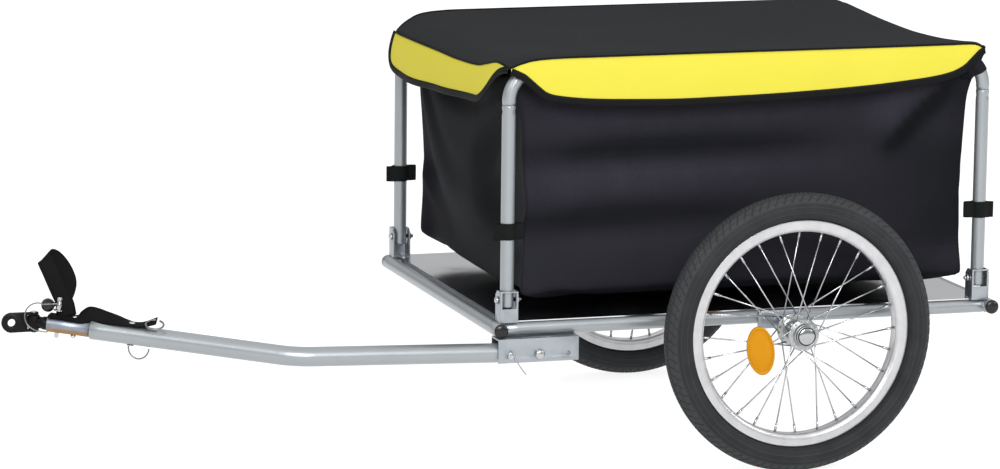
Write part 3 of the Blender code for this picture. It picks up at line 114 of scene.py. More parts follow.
class Finish:
    """A material and its slot: one Principled BSDF whose fixed values are set on its own sockets."""

    def __init__(self, name, slot=None, **fixed):
        self.material = bpy.data.materials.new(name)
        self.material.use_nodes = True
        self.slot = slot
        self.tree = self.material.node_tree
        self.shader = self.tree.nodes["Principled BSDF"]
        self.at = self.place()
        for socket, value in fixed.items():
            self.shader.inputs[socket.replace("_", " ")].default_value = value

    def plug(self, socket, value):
        """Link a worked-out value, or set a plain one."""
        if isinstance(value, Socket):
            self.tree.links.new(value.link, socket)
        else:
            socket.default_value = value

    def node(self, kind, settings, *values, out=0, **named):
        """Any node: its type, its settings, and the values or links of its sockets."""
        made = self.tree.nodes.new(kind)
        for setting, value in settings.items():
            setattr(made, setting, value)
        for i, value in enumerate(values):
            self.plug(made.inputs[i], value)
        for name, value in named.items():
            self.plug(made.inputs[name.replace("_", " ")], value)
        return Socket(self, made.outputs[out])

    def place(self, kind="Object"):
        """Where a point lies: in the object's metres, or on its cloth or tyre with UV."""
        return self.node("ShaderNodeTexCoord", {}, out=kind)

    def parts(self, vector):
        """The three numbers of a vector."""
        split = self.node("ShaderNodeSeparateXYZ", {}, vector).link.node
        return [Socket(self, output) for output in split.outputs]

    def noise(self, scale, detail=2.0, rough=0.5, at=None):
        made = {"Scale": scale, "Detail": detail, "Roughness": rough}
        return self.node("ShaderNodeTexNoise", {}, Vector=at or self.at, **made)

    def mix(self, share, low, high):
        """Colour between two colours."""
        made = self.tree.nodes.new("ShaderNodeMix")
        made.data_type = "RGBA"
        for socket, value in ((0, share), (6, low), (7, high)):
            if isinstance(value, tuple):
                value = (*value, 1.0)
            self.plug(made.inputs[socket], value)
        return Socket(self, made.outputs[2])

    def feed(self, **worked):
        """Lead worked-out values into the shader's sockets."""
        for socket, value in worked.items():
            self.plug(self.shader.inputs[socket.replace("_", " ")], value)
        return self

    def bump(self, height, distance):
        """Lead a height, in metres per `distance`, into the shader's normal."""
        raised = self.node("ShaderNodeBump", {}, Strength=1.0, Distance=distance, Height=height)
        return self.feed(Normal=raised)


floor_paint = Finish("studio_floor", Roughness=0.9, Specular_IOR_Level=0.1, Emission_Strength=0.85,
                     Emission_Color=(1.0, 1.0, 1.0, 1.0))
floor_paint.feed(Base_Color=floor_paint.mix(floor_paint.noise(3.0),
                                            (0.26, 0.26, 0.26), (0.28, 0.28, 0.28)))
floor_mesh = bpy.data.meshes.new("studio_floor")
floor_mesh.from_pydata([(-14, -14, 0), (14, -14, 0), (14, 14, 0), (-14, 14, 0)], [], [(0, 1, 2, 3)])
studio_floor = bpy.data.objects.new("studio_floor", floor_mesh)
bpy.context.collection.objects.link(studio_floor)
studio_floor.data.materials.append(floor_paint.material)

surround = bpy.data.worlds.new("studio_surround")
surround.use_nodes = True
sky = surround.node_tree
sky.nodes["Background"].inputs["Color"].default_value = (1.0, 1.0, 1.0, 1.0)
heading = sky.nodes.new("ShaderNodeTexCoord")
height = sky.nodes.new("ShaderNodeSeparateXYZ")
sky.links.new(heading.outputs["Generated"], height.inputs[0])
shade = sky.nodes.new("ShaderNodeMapRange")
shade.interpolation_type = "SMOOTHSTEP"
for socket, value in (("From Min", -0.1), ("From Max", 0.75), ("To Min", 0.34), ("To Max", 1.0)):
    shade.inputs[socket].default_value = value
sky.links.new(height.outputs["Z"], shade.inputs["Value"])
seen = sky.nodes.new("ShaderNodeLightPath")
white = sky.nodes.new("ShaderNodeMath")
white.operation = "MAXIMUM"
sky.links.new(shade.outputs[0], white.inputs[0])
sky.links.new(seen.outputs["Is Camera Ray"], white.inputs[1])
sky.links.new(white.outputs[0], sky.nodes["Background"].inputs["Strength"])
bpy.context.scene.world = surround
bpy.context.scene.view_settings.view_transform = "Standard"
for name, place, size, power in (("key_light", (0.5, 5.2, 3.0), 2.2, 200.0),
                                 ("left_light", (3.4, 2.6, 2.6), 1.2, 26.0),
                                 ("rear_light", (-3.4, 2.2, 2.0), 1.0, 24.0)):
    lamp = bpy.data.lights.new(name, "AREA")
    lamp.size = size
    lamp.energy = power
    lamp_object = bpy.data.objects.new(name, lamp)
    bpy.context.collection.objects.link(lamp_object)
    lamp_object.location = place
    aimed = Vector((-0.1, 0.0, 0.3)) - Vector(place)
    lamp_object.rotation_euler = aimed.to_track_quat("-Z", "Y").to_euler()


# Base frame: four steel tubes, 20 mm across, sprayed silver. The cross rails run through, with the side
# rails butted between them and welded all round. A black plug with a low dome closes each open end.
def grid_mesh(name, points, round_rows=False, round_columns=False, ends=False, across=None, along=None):
    """Quads over a grid of points (rows, columns, 3), joined up where round, its ends closed by a fan.

    across and along, in metres, give the UV map, with one value more than the grid where it is joined up.
    """
    rows, columns = points.shape[:2]
    r = np.arange(rows if round_rows else rows - 1)[:, None]
    c = np.arange(columns if round_columns else columns - 1)[None, :]
    here, next_row, right = r * columns, (r + 1) % rows * columns, (c + 1) % columns
    quads = np.stack([here + c, here + right, next_row + right, next_row + c], -1).reshape(-1, 4)
    corners = points.reshape(-1, 3)
    fan = np.zeros((0, 3), dtype=int)
    if ends:
        count = len(corners)
        corners = np.vstack([corners, points[0].mean(0), points[-1].mean(0)])
        last = (rows - 1) * columns
        low = np.stack([right[0], c[0], np.full(columns, count)], -1)
        high = np.stack([last + c[0], last + right[0], np.full(columns, count + 1)], -1)
        fan = np.vstack([low, high])
    triangles = np.vstack([quads[:, (0, 1, 2)], quads[:, (0, 2, 3)], fan])
    a, b, d = (corners[triangles[:, i]] for i in range(3))
    closed = ends or (round_rows and round_columns)
    inside_out = closed and (np.cross(b - a, d - a) * a).sum() < 0
    if inside_out:
        quads, fan = quads[:, ::-1], fan[:, ::-1]
    mesh = bpy.data.meshes.new(name)
    mesh.from_pydata(corners.tolist(), [], quads.tolist() + fan.tolist())
    if across is not None:
        spread = (values for values in (across[c], across[c + 1], along[r], along[r + 1]))
        u0, u1, v0, v1 = (np.broadcast_to(values, (len(r), c.shape[1])) for values in spread)
        uv = np.stack([u0, v0, u1, v0, u1, v1, u0, v1], -1).reshape(-1, 4, 2)
        uv = uv[:, ::-1] if inside_out else uv
        flat = np.concatenate([uv.reshape(-1, 2), np.zeros((len(fan) * 3, 2))])
        mesh.uv_layers.new(name="cut").data.foreach_set("uv", flat.ravel())
    mesh.polygons.foreach_set("use_smooth", [True] * len(mesh.polygons))
    return mesh


def unit(vectors):
    """Each vector at length 1."""
    return vectors / np.linalg.norm(vectors, axis=-1, keepdims=True)


def angles(count):
    """Evenly spread angles of one turn."""
    return np.linspace(0, 2 * np.pi, count, endpoint=False)


def travelled(path):
    """Length of a path up to each of its points."""
    return np.concatenate([[0], np.cumsum(np.linalg.norm(np.diff(path, axis=0), axis=1))])


def carried(path, section, side):
    """A section (n, 2), or one per point of the path, carried square to the path.

    The section's first value runs along side x path, its second towards side.
    """
    path = np.asarray(path, dtype=float)
    run = unit(np.gradient(path, axis=0))
    wide = unit(np.cross(np.broadcast_to(side, run.shape), run))
    high = np.cross(run, wide)
    section = np.broadcast_to(section, (len(path),) + np.shape(section)[-2:])
    return path[:, None] + section[..., :1] * wide[:, None] + section[..., 1:] * high[:, None]


def ring(radius, count=32):
    """Circle of points, one for each radius where several are given."""
    circle = np.stack([np.cos(angles(count)), np.sin(angles(count))], -1)
    return np.asarray(radius, dtype=float)[..., None, None] * circle


def line(start, end, step):
    """Evenly spaced points on a straight line."""
    start, end = np.asarray(start, dtype=float), np.asarray(end, dtype=float)
    share = np.linspace(0, 1, max(2, int(np.linalg.norm(end - start) / step) + 1))[:, None]
    return start + (end - start) * share


def bent(corners, radius, steps=12):
    """Corners joined by straight lines, each inner corner turned into an arc."""
    corners = [np.asarray(corner, dtype=float) for corner in corners]
    route = [corners[0][None]]
    for before, corner, after in zip(corners, corners[1:], corners[2:]):
        back, on = unit(before - corner), unit(after - corner)
        half = math.acos(float(np.clip(back @ on, -1, 1))) / 2
        centre = corner + unit(back + on) * radius / math.sin(half)
        reach = radius / math.tan(half)
        first, last = corner + back * reach - centre, corner + on * reach - centre
        sweep = math.pi - 2 * half
        share = np.linspace(0, 1, steps)[:, None]
        arc = first * np.sin((1 - share) * sweep) + last * np.sin(share * sweep)
        route.append(centre + arc / math.sin(sweep))
    route.append(corners[-1][None])
    return np.vstack(route)


def show(name, mesh, finish, body, *stands_for):
    """Put a mesh in the scene with its finish, on its body, in place of the CAD nodes that it stands for."""
    made = bpy.data.objects.new(name, mesh)
    bpy.context.collection.objects.link(made)
    mesh.materials.append(finish.material)
    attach(made, body)
    if stands_for:
        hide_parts(*stands_for)
    return made


def tube(name, path, radius, finish, body, *stands_for, side=(0, 0, 1), edge=0.0006, count=32):
    """Round tube or bar along a path, its end edges eased."""
    path = np.asarray(path, dtype=float)
    run = unit(np.gradient(path, axis=0)) * edge
    length = travelled(path)
    path = np.vstack([path[:1], path[:1] + run[:1], path[1:-1], path[-1:] - run[-1:], path[-1:]])
    length = np.concatenate([length[:1], length[:1] + edge, length[1:-1], length[-1:] - edge, length[-1:]])
    radii = np.full(len(path), radius, dtype=float)
    radii[[0, -1]] -= edge
    mesh = grid_mesh(name, carried(path, ring(radii, count), side), round_columns=True, ends=True,
                     across=np.linspace(0, 2 * np.pi * radius, count + 1), along=length)
    return show(name, mesh, finish, body, *stands_for)


silver = Finish("silver_paint", "silver_paint", Metallic=0.70, Coat_Weight=0.10, Coat_Roughness=0.20)
flake = silver.noise(900.0, 2.0)
cloud = silver.noise(14.0, 3.0)
rub = silver.noise(60.0, 4.0, 0.7).rise(0.62, 0.72)
silver.feed(Base_Color=silver.mix(cloud, (0.31, 0.335, 0.35), (0.355, 0.38, 0.395)),
            Roughness=0.26 + 0.10 * cloud + 0.10 * flake + 0.08 * rub)
silver.bump(flake * 0.6 + cloud * 2.0, 0.00006)

SIDES = (("left", 1), ("right", -1))
RAIL_Y, RAIL_Z, RAIL_R, CROSS_HALF = 0.264, 0.2055, 0.010, 0.28
FRONT_X, REAR_X = AXLE_X + 0.413, AXLE_X - 0.325
RAILS = (("front", FRONT_X, -1), ("rear", REAR_X, 1))
for end, x, _ in RAILS:
    run = line((x, -CROSS_HALF, RAIL_Z), (x, CROSS_HALF, RAIL_Z), 0.02)
    tube(end + "_cross_tube", run, RAIL_R, silver, "frame", end + "_cross_rail")
for side, s in SIDES:
    y = s * RAIL_Y
    run = line((REAR_X + RAIL_R * 0.8, y, RAIL_Z), (FRONT_X - RAIL_R * 0.8, y, RAIL_Z), 0.02)
    tube(side + "_side_tube", run, RAIL_R, silver, "frame", side + "_side_rail")
    for end, x, inward in RAILS:
        around = angles(48)
        saddle = np.stack([x + inward * (RAIL_R * np.abs(np.cos(around)) + 0.0004),
                           y + RAIL_R * np.cos(around), RAIL_Z + RAIL_R * np.sin(around)], -1)
        out = unit(np.stack([np.full(48, inward * 0.7), np.cos(around), np.sin(around)], -1))
        beside = np.cross(unit(np.roll(saddle, -1, 0) - np.roll(saddle, 1, 0)), out)
        ripple = ring(0.0010 + 0.0002 * np.sin(around * 17), 8)
        bead = saddle[:, None] + ripple[..., :1] * beside[:, None] + ripple[..., 1:] * out[:, None]
        name = f"{side}_{end}_weld"
        show(name, grid_mesh(name, bead, round_rows=True, round_columns=True), silver, "frame")


def mm(*rows):
    """Rows of lengths written in millimetres."""
    return np.array(rows) / 1000


def lathe(name, profile, centre, axis, finish, body, *stands_for, count=48, ring_shaped=False):
    """Turned piece: a profile of (radius, height) goes round an axis through its centre.

    A plain profile runs from the axis to the axis; a ring-shaped one closes on itself.
    """
    axis = unit(np.asarray(axis, dtype=float))
    first = unit(np.cross(axis, (1, 0, 0) if abs(axis[0]) < 0.9 else (0, 0, 1)))
    second = np.cross(axis, first)
    profile = np.asarray(profile, dtype=float)[:, :, None, None]
    turn = angles(count)[:, None]
    spread = np.cos(turn) * first + np.sin(turn) * second
    points = np.asarray(centre) + profile[:, 1] * axis + profile[:, 0] * spread
    mesh = grid_mesh(name, points, round_rows=ring_shaped, round_columns=True, ends=not ring_shaped)
    return show(name, mesh, finish, body, *stands_for)


plug_plastic = Finish("black_plastic", "black_plastic", Base_Color=(0.008, 0.008, 0.009, 1),
                      Specular_IOR_Level=0.4)
plug_plastic.feed(Roughness=0.16 + 0.18 * plug_plastic.noise(160.0, 3.0))
plug_plastic.bump(plug_plastic.noise(1400.0), 0.00004)
swell = np.radians(np.linspace(88, 0, 10))
dome = np.stack([0.0101 * np.cos(swell), 0.0018 + 0.0040 * np.sin(swell)], -1)
plug = np.vstack([dome, mm((10.1, 0.4), (9.8, 0), (8.3, 0), (8.3, -16), (0.2, -16))])
for end, x, _ in RAILS:
    for side, s in SIDES:
        name = f"{end}_{side}"
        lathe(name + "_cap", plug, (x, s * (CROSS_HALF + 0.0003), RAIL_Z), (0, s, 0), plug_plastic,
              "frame", name + "_rail_plug", count=32)


# Floor: one sheet of polished aluminium laid on the rails, its front and rear edges bent down. It
# mirrors what stands above it, with faint rolling lines and smudges.
sheet_metal = Finish("sheet_metal", Metallic=1.0)
stretched = sheet_metal.node("ShaderNodeMapping", {}, sheet_metal.at, Scale=(3.0, 220.0, 1.0))
rolled = sheet_metal.noise(3.0, 3.0, 0.6, stretched)
smudge = sheet_metal.noise(9.0, 4.0, 0.6)
sheet_metal.feed(Base_Color=sheet_metal.mix(smudge, (0.70, 0.71, 0.73), (0.80, 0.81, 0.83)),
                 Roughness=0.10 + 0.10 * smudge.rise(0.45, 0.75) + 0.05 * rolled).bump(rolled, 0.00002)
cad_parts["floor_panel"].data.materials[0] = sheet_metal.material


# Foot brackets: pressed zinc-plated steel channels, one at each corner, with a window for the post's
# end. Each has its bolt through both cheeks. Their edges are broken by the press.
def softened(node, name, finish, body, width):
    """A CAD node's flat-sided shape again, with its doubles merged and its edges rounded."""
    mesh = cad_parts[node].data.copy()
    mesh.name = name
    mesh.materials.clear()
    shape = bmesh.new()
    shape.from_mesh(mesh)
    bmesh.ops.remove_doubles(shape, verts=shape.verts, dist=0.00002)
    bmesh.ops.dissolve_limit(shape, angle_limit=math.radians(1.0), verts=shape.verts, edges=shape.edges)
    shape.to_mesh(mesh)
    shape.free()
    mesh.polygons.foreach_set("use_smooth", [True] * len(mesh.polygons))
    made = show(name, mesh, finish, body, node)
    edge = made.modifiers.new("broken_edges", "BEVEL")
    edge.width = width
    edge.segments = 2
    edge.limit_method = "ANGLE"
    edge.angle_limit = math.radians(40.0)
    edge.use_clamp_overlap = True
    edge.harden_normals = True
    return made


zinc = Finish("zinc_plate", "zinc_steel", Metallic=0.92)
spangle = zinc.node("ShaderNodeTexVoronoi", {"feature": "F1"}, Vector=zinc.at, Scale=190.0, out="Distance")
stain = zinc.noise(34.0, 4.0, 0.65)
zinc.feed(Base_Color=zinc.mix(stain, (0.30, 0.33, 0.36), (0.44, 0.47, 0.50)),
          Roughness=0.24 + 0.14 * stain + 0.10 * spangle).bump(spangle + stain * 0.5, 0.00005)


def plain_metal(name, slot, metallic, clouds, low, high, least, spread, grain):
    """Metal whose colour goes from low to high in clouds, and its roughness from least by spread in a grain.

    clouds and grain are each a noise's scale and detail.
    """
    made = Finish(name, slot, Metallic=metallic)
    return made.feed(Base_Color=made.mix(made.noise(*clouds), low, high),
                     Roughness=least + spread * made.noise(*grain))


steel = plain_metal("bright_steel", "zinc_steel", 1.0, (90.0, 3.0), (0.42, 0.42, 0.43), (0.58, 0.58, 0.59),
                    0.16, 0.14, (240.0, 2.0))

POST_Y, BOLT_Z = 0.264, 0.2465
POST_FRONT, POST_REAR = AXLE_X + 0.400, AXLE_X - 0.308
POSTS = (("front", POST_FRONT, 1), ("rear", POST_REAR, -1))
bolt = mm((0.1, 17.2), (3, 17.2), (4.6, 16.3), (5.2, 15), (5.2, 13.35), (2.9, 13.35), (2.9, -13.35),
          (0.1, -13.35))
nut = mm((2.6, -13.4), (4.8, -13.4), (5.2, -14), (5.2, -16.2), (4.8, -16.8), (2.7, -16.8), (2.7, -19.6),
         (2.2, -20.1), (0.1, -20.1))
for side, s in SIDES:
    for end, x, outward in POSTS:
        name, middle, ahead = f"{side}_{end}", (x, s * POST_Y, BOLT_Z), (outward, 0, 0)
        softened(name + "_foot_bracket", name + "_foot", zinc, "frame", 0.0006)
        lathe(name + "_bolt", bolt, middle, ahead, steel, "frame", name + "_fold_bolt", count=24)
        lathe(name + "_nut", nut, middle, ahead, steel, "frame", count=24)


# Hoops: at each side two posts turn on the foot bolts, and a bent bow of the same tube plugs into
# them. The posts are crimped on the bow's thinner ends by two pairs of dimples under each joint.
POST_R, POST_TOP, BOW_Z, BOW_BEND = 0.0095, 0.519, 0.568, 0.044
for side, s in SIDES:
    y = s * POST_Y
    for end, x, outward in POSTS:
        path = line((x, y, 0.2356), (x, y, POST_TOP), 0.002)
        around = angles(36)
        radii = np.full((len(path), 36), POST_R)
        radii[[0, -1]] -= 0.0007
        for facing in np.radians((35, 80, 215, 260)):
            apart = (np.cos(around - facing)[None] - 1) * 22
            radii -= 0.0017 * np.exp(apart - ((path[:, 2:] - (POST_TOP - 0.009)) / 0.0026) ** 2)
        section = np.stack([radii * np.cos(around), radii * np.sin(around)], -1)
        name = f"{side}_{end}_tube"
        mesh = grid_mesh(name, carried(path, section, (1, 0, 0)), round_columns=True, ends=True)
        show(name, mesh, silver, side + "_hoop", f"{side}_{end}_post")
    seat = POST_TOP + 0.0003
    bow = bent([(POST_FRONT, y, seat), (POST_FRONT, y, BOW_Z), (POST_REAR, y, BOW_Z), (POST_REAR, y, seat)],
               BOW_BEND, 16)
    bow = np.vstack([line((POST_FRONT, y, seat - 0.012), (POST_FRONT, y, seat - 0.0003), 0.004), bow,
                     line((POST_REAR, y, seat - 0.0003), (POST_REAR, y, seat - 0.012), 0.004)])
    radii = np.full(len(bow), POST_R)
    radii[:3] = radii[-3:] = POST_R - 0.0017
    radii[[3, -4]] -= 0.0005
    mesh = grid_mesh(side + "_bow", carried(bow, ring(radii, 36), (0, 1, 0)), round_columns=True, ends=True)
    show(side + "_bow", mesh, silver, side + "_hoop", side + "_top_bow")


# Cloth box: coated polyester cut as four walls and a bottom, sewn together at the edges. It hangs from
# the bows. A short cloth simulation slackens the walls, and their broad rolls follow the photo.
cloth = Finish("black_cloth", "black_cloth", Specular_IOR_Level=0.04)
x, y, z = cloth.parts(cloth.at)
threads = (x * 5200.0).sine() * (z * 5200.0).sine() + (y * 5200.0).sine() * (z * 5200.0).sine()
grain = cloth.noise(620.0, 3.0, 0.6)
worn = cloth.noise(7.0, 3.0, 0.6)
# The base colour is led by a point attribute of painted shade and light, made darker and lighter on the folds
# further below.
painted_shading = cloth.node("ShaderNodeAttribute", {"attribute_name": "painted_shading"}, out="Fac")
cloth.feed(Base_Color=cloth.mix(painted_shading * (0.45 + 1.0 * grain) + worn * 0.15 - 0.06,
                                (0.0035, 0.0045, 0.0050), (0.034, 0.032, 0.044)),
           Roughness=0.55 + 0.14 * grain).bump(threads * 0.25 + grain, 0.00022)

BAG_FRONT, BAG_REAR, BAG_Y = AXLE_X + 0.377, AXLE_X - 0.294, 0.2515
BAG_LOW, BAG_TOP = 0.2475, 0.5600
BAG_LONG, BAG_WIDE, BAG_HIGH = BAG_FRONT - BAG_REAR, 2 * BAG_Y, BAG_TOP - BAG_LOW
STEP = 0.0122


def drawn_in(t):
    """How far out an upright edge runs at a height: out to the posts at the top, in between the ties."""
    return (0.010 * np.clip((t - 0.80) / 0.14, 0, 1) ** 2
            - 0.0055 * np.sin(np.pi * np.clip(t / 0.80, 0, 1)) ** 2)


def long_wall(q, t, s):
    edge = drawn_in(t)
    return BAG_REAR - edge + (BAG_LONG + 2 * edge) * q, s * BAG_Y + 0 * q, BAG_LOW + BAG_HIGH * t


def end_wall(q, t, x, outward):
    return x + outward * drawn_in(t) + 0 * q, -BAG_Y + BAG_WIDE * q, BAG_LOW + BAG_HIGH * t


def bottom(q, t):
    return BAG_REAR + BAG_LONG * q, -BAG_Y + BAG_WIDE * t, BAG_LOW + 0 * q


sewn = bmesh.new()
for place, wide, high, *facts in ((long_wall, BAG_LONG, BAG_HIGH, 1), (long_wall, BAG_LONG, BAG_HIGH, -1),
                                  (end_wall, BAG_WIDE, BAG_HIGH, BAG_FRONT, 1),
                                  (end_wall, BAG_WIDE, BAG_HIGH, BAG_REAR, -1), (bottom, BAG_LONG, BAG_WIDE)):
    q, t = np.meshgrid(np.linspace(0, 1, round(wide / STEP) + 1), np.linspace(0, 1, round(high / STEP) + 1))
    grid = np.stack(np.broadcast_arrays(*place(q, t, *facts)), -1)
    rows, columns = grid.shape[:2]
    corners = [sewn.verts.new(co) for co in grid.reshape(-1, 3)]
    for i in range(rows - 1):
        for k in range(i * columns, (i + 1) * columns - 1):
            sewn.faces.new((corners[k], corners[k + 1], corners[k + columns + 1], corners[k + columns]))
bmesh.ops.remove_doubles(sewn, verts=sewn.verts, dist=0.0004)
bmesh.ops.recalc_face_normals(sewn, faces=sewn.faces)
box_mesh = bpy.data.meshes.new("cloth_box")
sewn.to_mesh(box_mesh)
sewn.free()


def places_of(mesh):
    """Where a mesh's points are."""
    places = np.empty(len(mesh.vertices) * 3)
    mesh.vertices.foreach_get("co", places)
    return places.reshape(-1, 3)


def along_box(x):
    """0 at the box's rear wall, 1 at its front wall."""
    return (x - BAG_REAR) / BAG_LONG


cloth_at = places_of(box_mesh)
hung = bpy.data.objects.new("hung_cloth", box_mesh.copy())
bpy.context.collection.objects.link(hung)
rng = np.random.default_rng(5)
hung.data.vertices.foreach_set("co", (cloth_at + rng.normal(0, 0.0004, cloth_at.shape)).ravel())
held = hung.vertex_groups.new(name="held")
from_front, from_rear = np.abs(cloth_at[:, 0] - BAG_FRONT), np.abs(cloth_at[:, 0] - BAG_REAR)
corner = (np.abs(np.abs(cloth_at[:, 1]) - BAG_Y) < 0.001) & (np.minimum(from_front, from_rear) < 0.012)
top = np.nonzero((cloth_at[:, 2] > BAG_TOP - 0.001) & (np.abs(cloth_at[:, 1]) > BAG_Y - 0.001))[0]
tied = np.nonzero(corner & (np.abs(cloth_at[:, 2] - 0.344) < 0.013))[0]
foot = np.nonzero(corner & (cloth_at[:, 2] < BAG_LOW + 0.001))[0]
held.add([int(i) for i in np.concatenate([top, tied])], 1.0, "REPLACE")
held.add([int(i) for i in foot], 0.6, "REPLACE")
drape = hung.modifiers.new("drape", "CLOTH")
for setting, value in (("quality", 6), ("mass", 0.35), ("tension_stiffness", 18),
                       ("compression_stiffness", 18), ("shear_stiffness", 6),
                       ("bending_stiffness", 2.5), ("tension_damping", 12),
                       ("compression_damping", 12), ("shear_damping", 8), ("air_damping", 3),
                       ("shrink_min", -0.012), ("vertex_group_mass", "held")):
    setattr(drape.settings, setting, value)
drape.collision_settings.use_collision = False
settling = 32
drape.point_cache.frame_start = 1
drape.point_cache.frame_end = settling
for step in range(1, settling + 1):
    bpy.context.scene.frame_set(step)
seen = hung.evaluated_get(bpy.context.evaluated_depsgraph_get())
moved = places_of(seen.data) - cloth_at
bpy.data.objects.remove(hung, do_unlink=True)
bpy.context.scene.frame_set(1)
size = np.linalg.norm(moved, axis=1, keepdims=True)
limit = 0.010
moved = moved * np.where(size > limit, (limit + (size - limit) * 0.15) / np.maximum(size, 1e-9), 1.0)
edge = np.abs(cloth_at[:, 1] / BAG_Y) ** 12 * np.abs(2 * along_box(cloth_at[:, 0]) - 1) ** 12
cloth_at = cloth_at + moved * (1 - 0.85 * np.clip(edge, 0, 1))[:, None]


def rise(value, low, high):
    """0 below low, 1 above high, a smooth step between them."""
    t = np.clip((value - low) / (high - low), 0, 1)
    return t * t * (3 - 2 * t)


def side_folds(x, z, lean):
    """How far a long wall bulges at x and z: soft rolls along it, and a crease down from its rear top corner.

    lean shifts the rolls, so the two walls differ.
    """
    q = along_box(x)
    levels, bulge = ((0.2475, 0.300, 0.336, 0.373, 0.405, 0.433, 0.465, 0.520, 0.560),
                     (0.000, -0.0045, -0.0090, 0.0050, 0.0010, -0.0075, 0.0055, 0.0010, 0.000))
    level = sum(np.interp(z + step, levels, bulge) for step in (-0.014, -0.007, 0.0, 0.007, 0.014)) / 5
    rolls = level * rise(q, 0.15, 0.45) * (1 - 0.45 * rise(q, 0.80, 1.0))
    rolls *= 0.8 + 0.4 * np.sin(5.5 * q + 9 * z + lean)
    run_x, run_z = x - BAG_REAR - 0.052, z - 0.526
    away, run = -0.707 * (run_x + run_z), 0.707 * (run_x - run_z)
    crease = np.where(away < 0, np.exp(-(away / 0.040) ** 2), np.exp(-(away / 0.017) ** 2))
    crease = 0.0115 * crease * rise(run, -0.035, 0.010) * (1 - rise(run, 0.080, 0.135))
    drawn = 0.008 * (1 - rise(q, -0.02, 0.26)) * (1 - rise(z, 0.47, 0.55)) * rise(z, 0.2475, 0.30)
    return rolls + crease - drawn


def end_folds(v, z):
    """How far an end wall bulges: an arc from its near top corner, beyond which the cloth is drawn in."""
    arc = 0.10 + np.where(z > 0.42, 82.0, 25.0) * (z - 0.42) ** 2
    beyond = v - arc
    swell = np.where(beyond < 0, np.exp(-(beyond / 0.75) ** 2),
                     1 - 1.9 * rise(beyond, 0.0, 0.45) + 0.5 * rise(beyond, 0.45, 0.9))
    return 0.0090 * swell * rise(z, 0.2475, 0.30) * (1 - rise(z, 0.50, 0.556)) * (1 - v ** 8)


def slope(height, at, other, step):
    """How fast a height changes with its first value."""
    return (height(at - step, other) - height(at + step, other)) / (2 * step)


# Painted shading on the cloth's points: the walls are painted lighter where they lean back towards the key
# light and darker where they lean away, and painted darker at the long walls' lower rear, at their top front
# under the cover's hem, and over the end walls, which stand in shade.
x, z = np.clip(cloth_at[:, 0], BAG_REAR, BAG_FRONT), cloth_at[:, 2]
q, v = along_box(x), np.clip(cloth_at[:, 1] / BAG_Y, -1, 1)
light = np.full(len(x), 0.22)
for way, lean in ((1, 0.0), (-1, 2.1)):
    share = np.clip(way * v, 0, 1) ** 6
    cloth_at[:, 1] += way * side_folds(x, z, lean) * share
    leaning = slope(lambda height, along: side_folds(along, height, lean), z, x, 0.006)
    turning = slope(lambda along, height: side_folds(along, height, lean), x, z, 0.006)
    light += rise(share, 0.5, 0.9) * (
        0.225 + 1.15 * np.clip(leaning, -0.28, 0.28) + 0.9 * np.clip(turning, -0.3, 0.3)
        - 0.21 * (1 - rise(q, 0.05, 0.30)) * (1 - rise(z, 0.42, 0.50))
        - 0.15 * rise(z, 0.515, 0.545) * rise(q, 0.75, 0.98))
# End walls: painted shade, darker all over, and lighter or darker as their arcs turn.
for way, lean, most in ((1, 0.0, 1.0), (-1, 0.4, 0.25)):
    share = np.clip(way * (2 * q - 1), 0, 1) ** 16
    cloth_at[:, 0] += way * end_folds(way * v - lean, z) * most * share
    turning = slope(end_folds, way * v - lean, z, 0.02) / BAG_Y
    painted_end_shade = np.clip(-0.7 * turning, -0.10, 0.16) - 0.14
    light += rise(share, 0.5, 0.9) * (1 - rise(np.abs(v), 0.93, 0.99)) * painted_end_shade
# The folding posts pass close to the end walls, so the walls' middles stay clear of them.
middle = 1 - rise(np.abs(v), 0.86, 0.97)
cloth_at[:, 0] += middle * np.clip(1 - 2 * q, 0, 1) ** 8 * 0.0045
cloth_at[:, 0] += middle * (np.clip(cloth_at[:, 0], AXLE_X - 0.2910, AXLE_X + 0.3880) - cloth_at[:, 0])
arched = np.abs(v) ** 6 * 0.009 * np.sin(np.pi * q) + np.abs(2 * q - 1) ** 16 * 0.007 * rise(-v, -0.8, 1.0)
cloth_at[:, 2] += arched * (1 - rise(z, 0.2475, 0.33))
box_mesh.vertices.foreach_set("co", cloth_at.ravel())
box_mesh.attributes.new("painted_shading", "FLOAT", "POINT").data.foreach_set("value", np.clip(light, 0.03, 1.0))
box_mesh.update()
box_mesh.polygons.foreach_set("use_smooth", [True] * len(box_mesh.polygons))
cloth_box = show("cloth_box", box_mesh, cloth, "frame", "cargo_bag")
finer = cloth_box.modifiers.new("finer", "SUBSURF")
finer.levels = finer.render_levels = 1


def thicken(piece, thickness, offset=-1.0):
    """Give a sheet its thickness: inward from its face, or outward where the offset is 1."""
    skin = piece.modifiers.new("thickness", "SOLIDIFY")
    skin.thickness = thickness
    skin.offset = offset


thicken(cloth_box, 0.0012)


def flow(points, count):
    """Smooth curve through points: cubic pieces, each point's slope taken from its two neighbours."""
    points = np.asarray(points, dtype=float)
    padded = np.vstack([2 * points[0] - points[1], points, 2 * points[-1] - points[-2]])
    place = np.linspace(0, len(points) - 1, count * 4)
    i = np.minimum(place.astype(int), len(points) - 2)
    t = (place - i)[:, None]
    before, here, there, after = padded[i], padded[i + 1], padded[i + 2], padded[i + 3]
    curve = 0.5 * (2 * here + (there - before) * t + (2 * before - 5 * here + 4 * there - after) * t ** 2
                   + (3 * here - before - 3 * there + after) * t ** 3)
    length = travelled(curve)
    even = np.linspace(0, length[-1], count)
    return np.stack([np.interp(even, length, curve[:, k]) for k in range(curve.shape[1])], -1)


def crumple(pieces, level, keep):
    """Give each piece a mesh of its own; the level is not used."""
    for piece in pieces:
        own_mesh(piece)


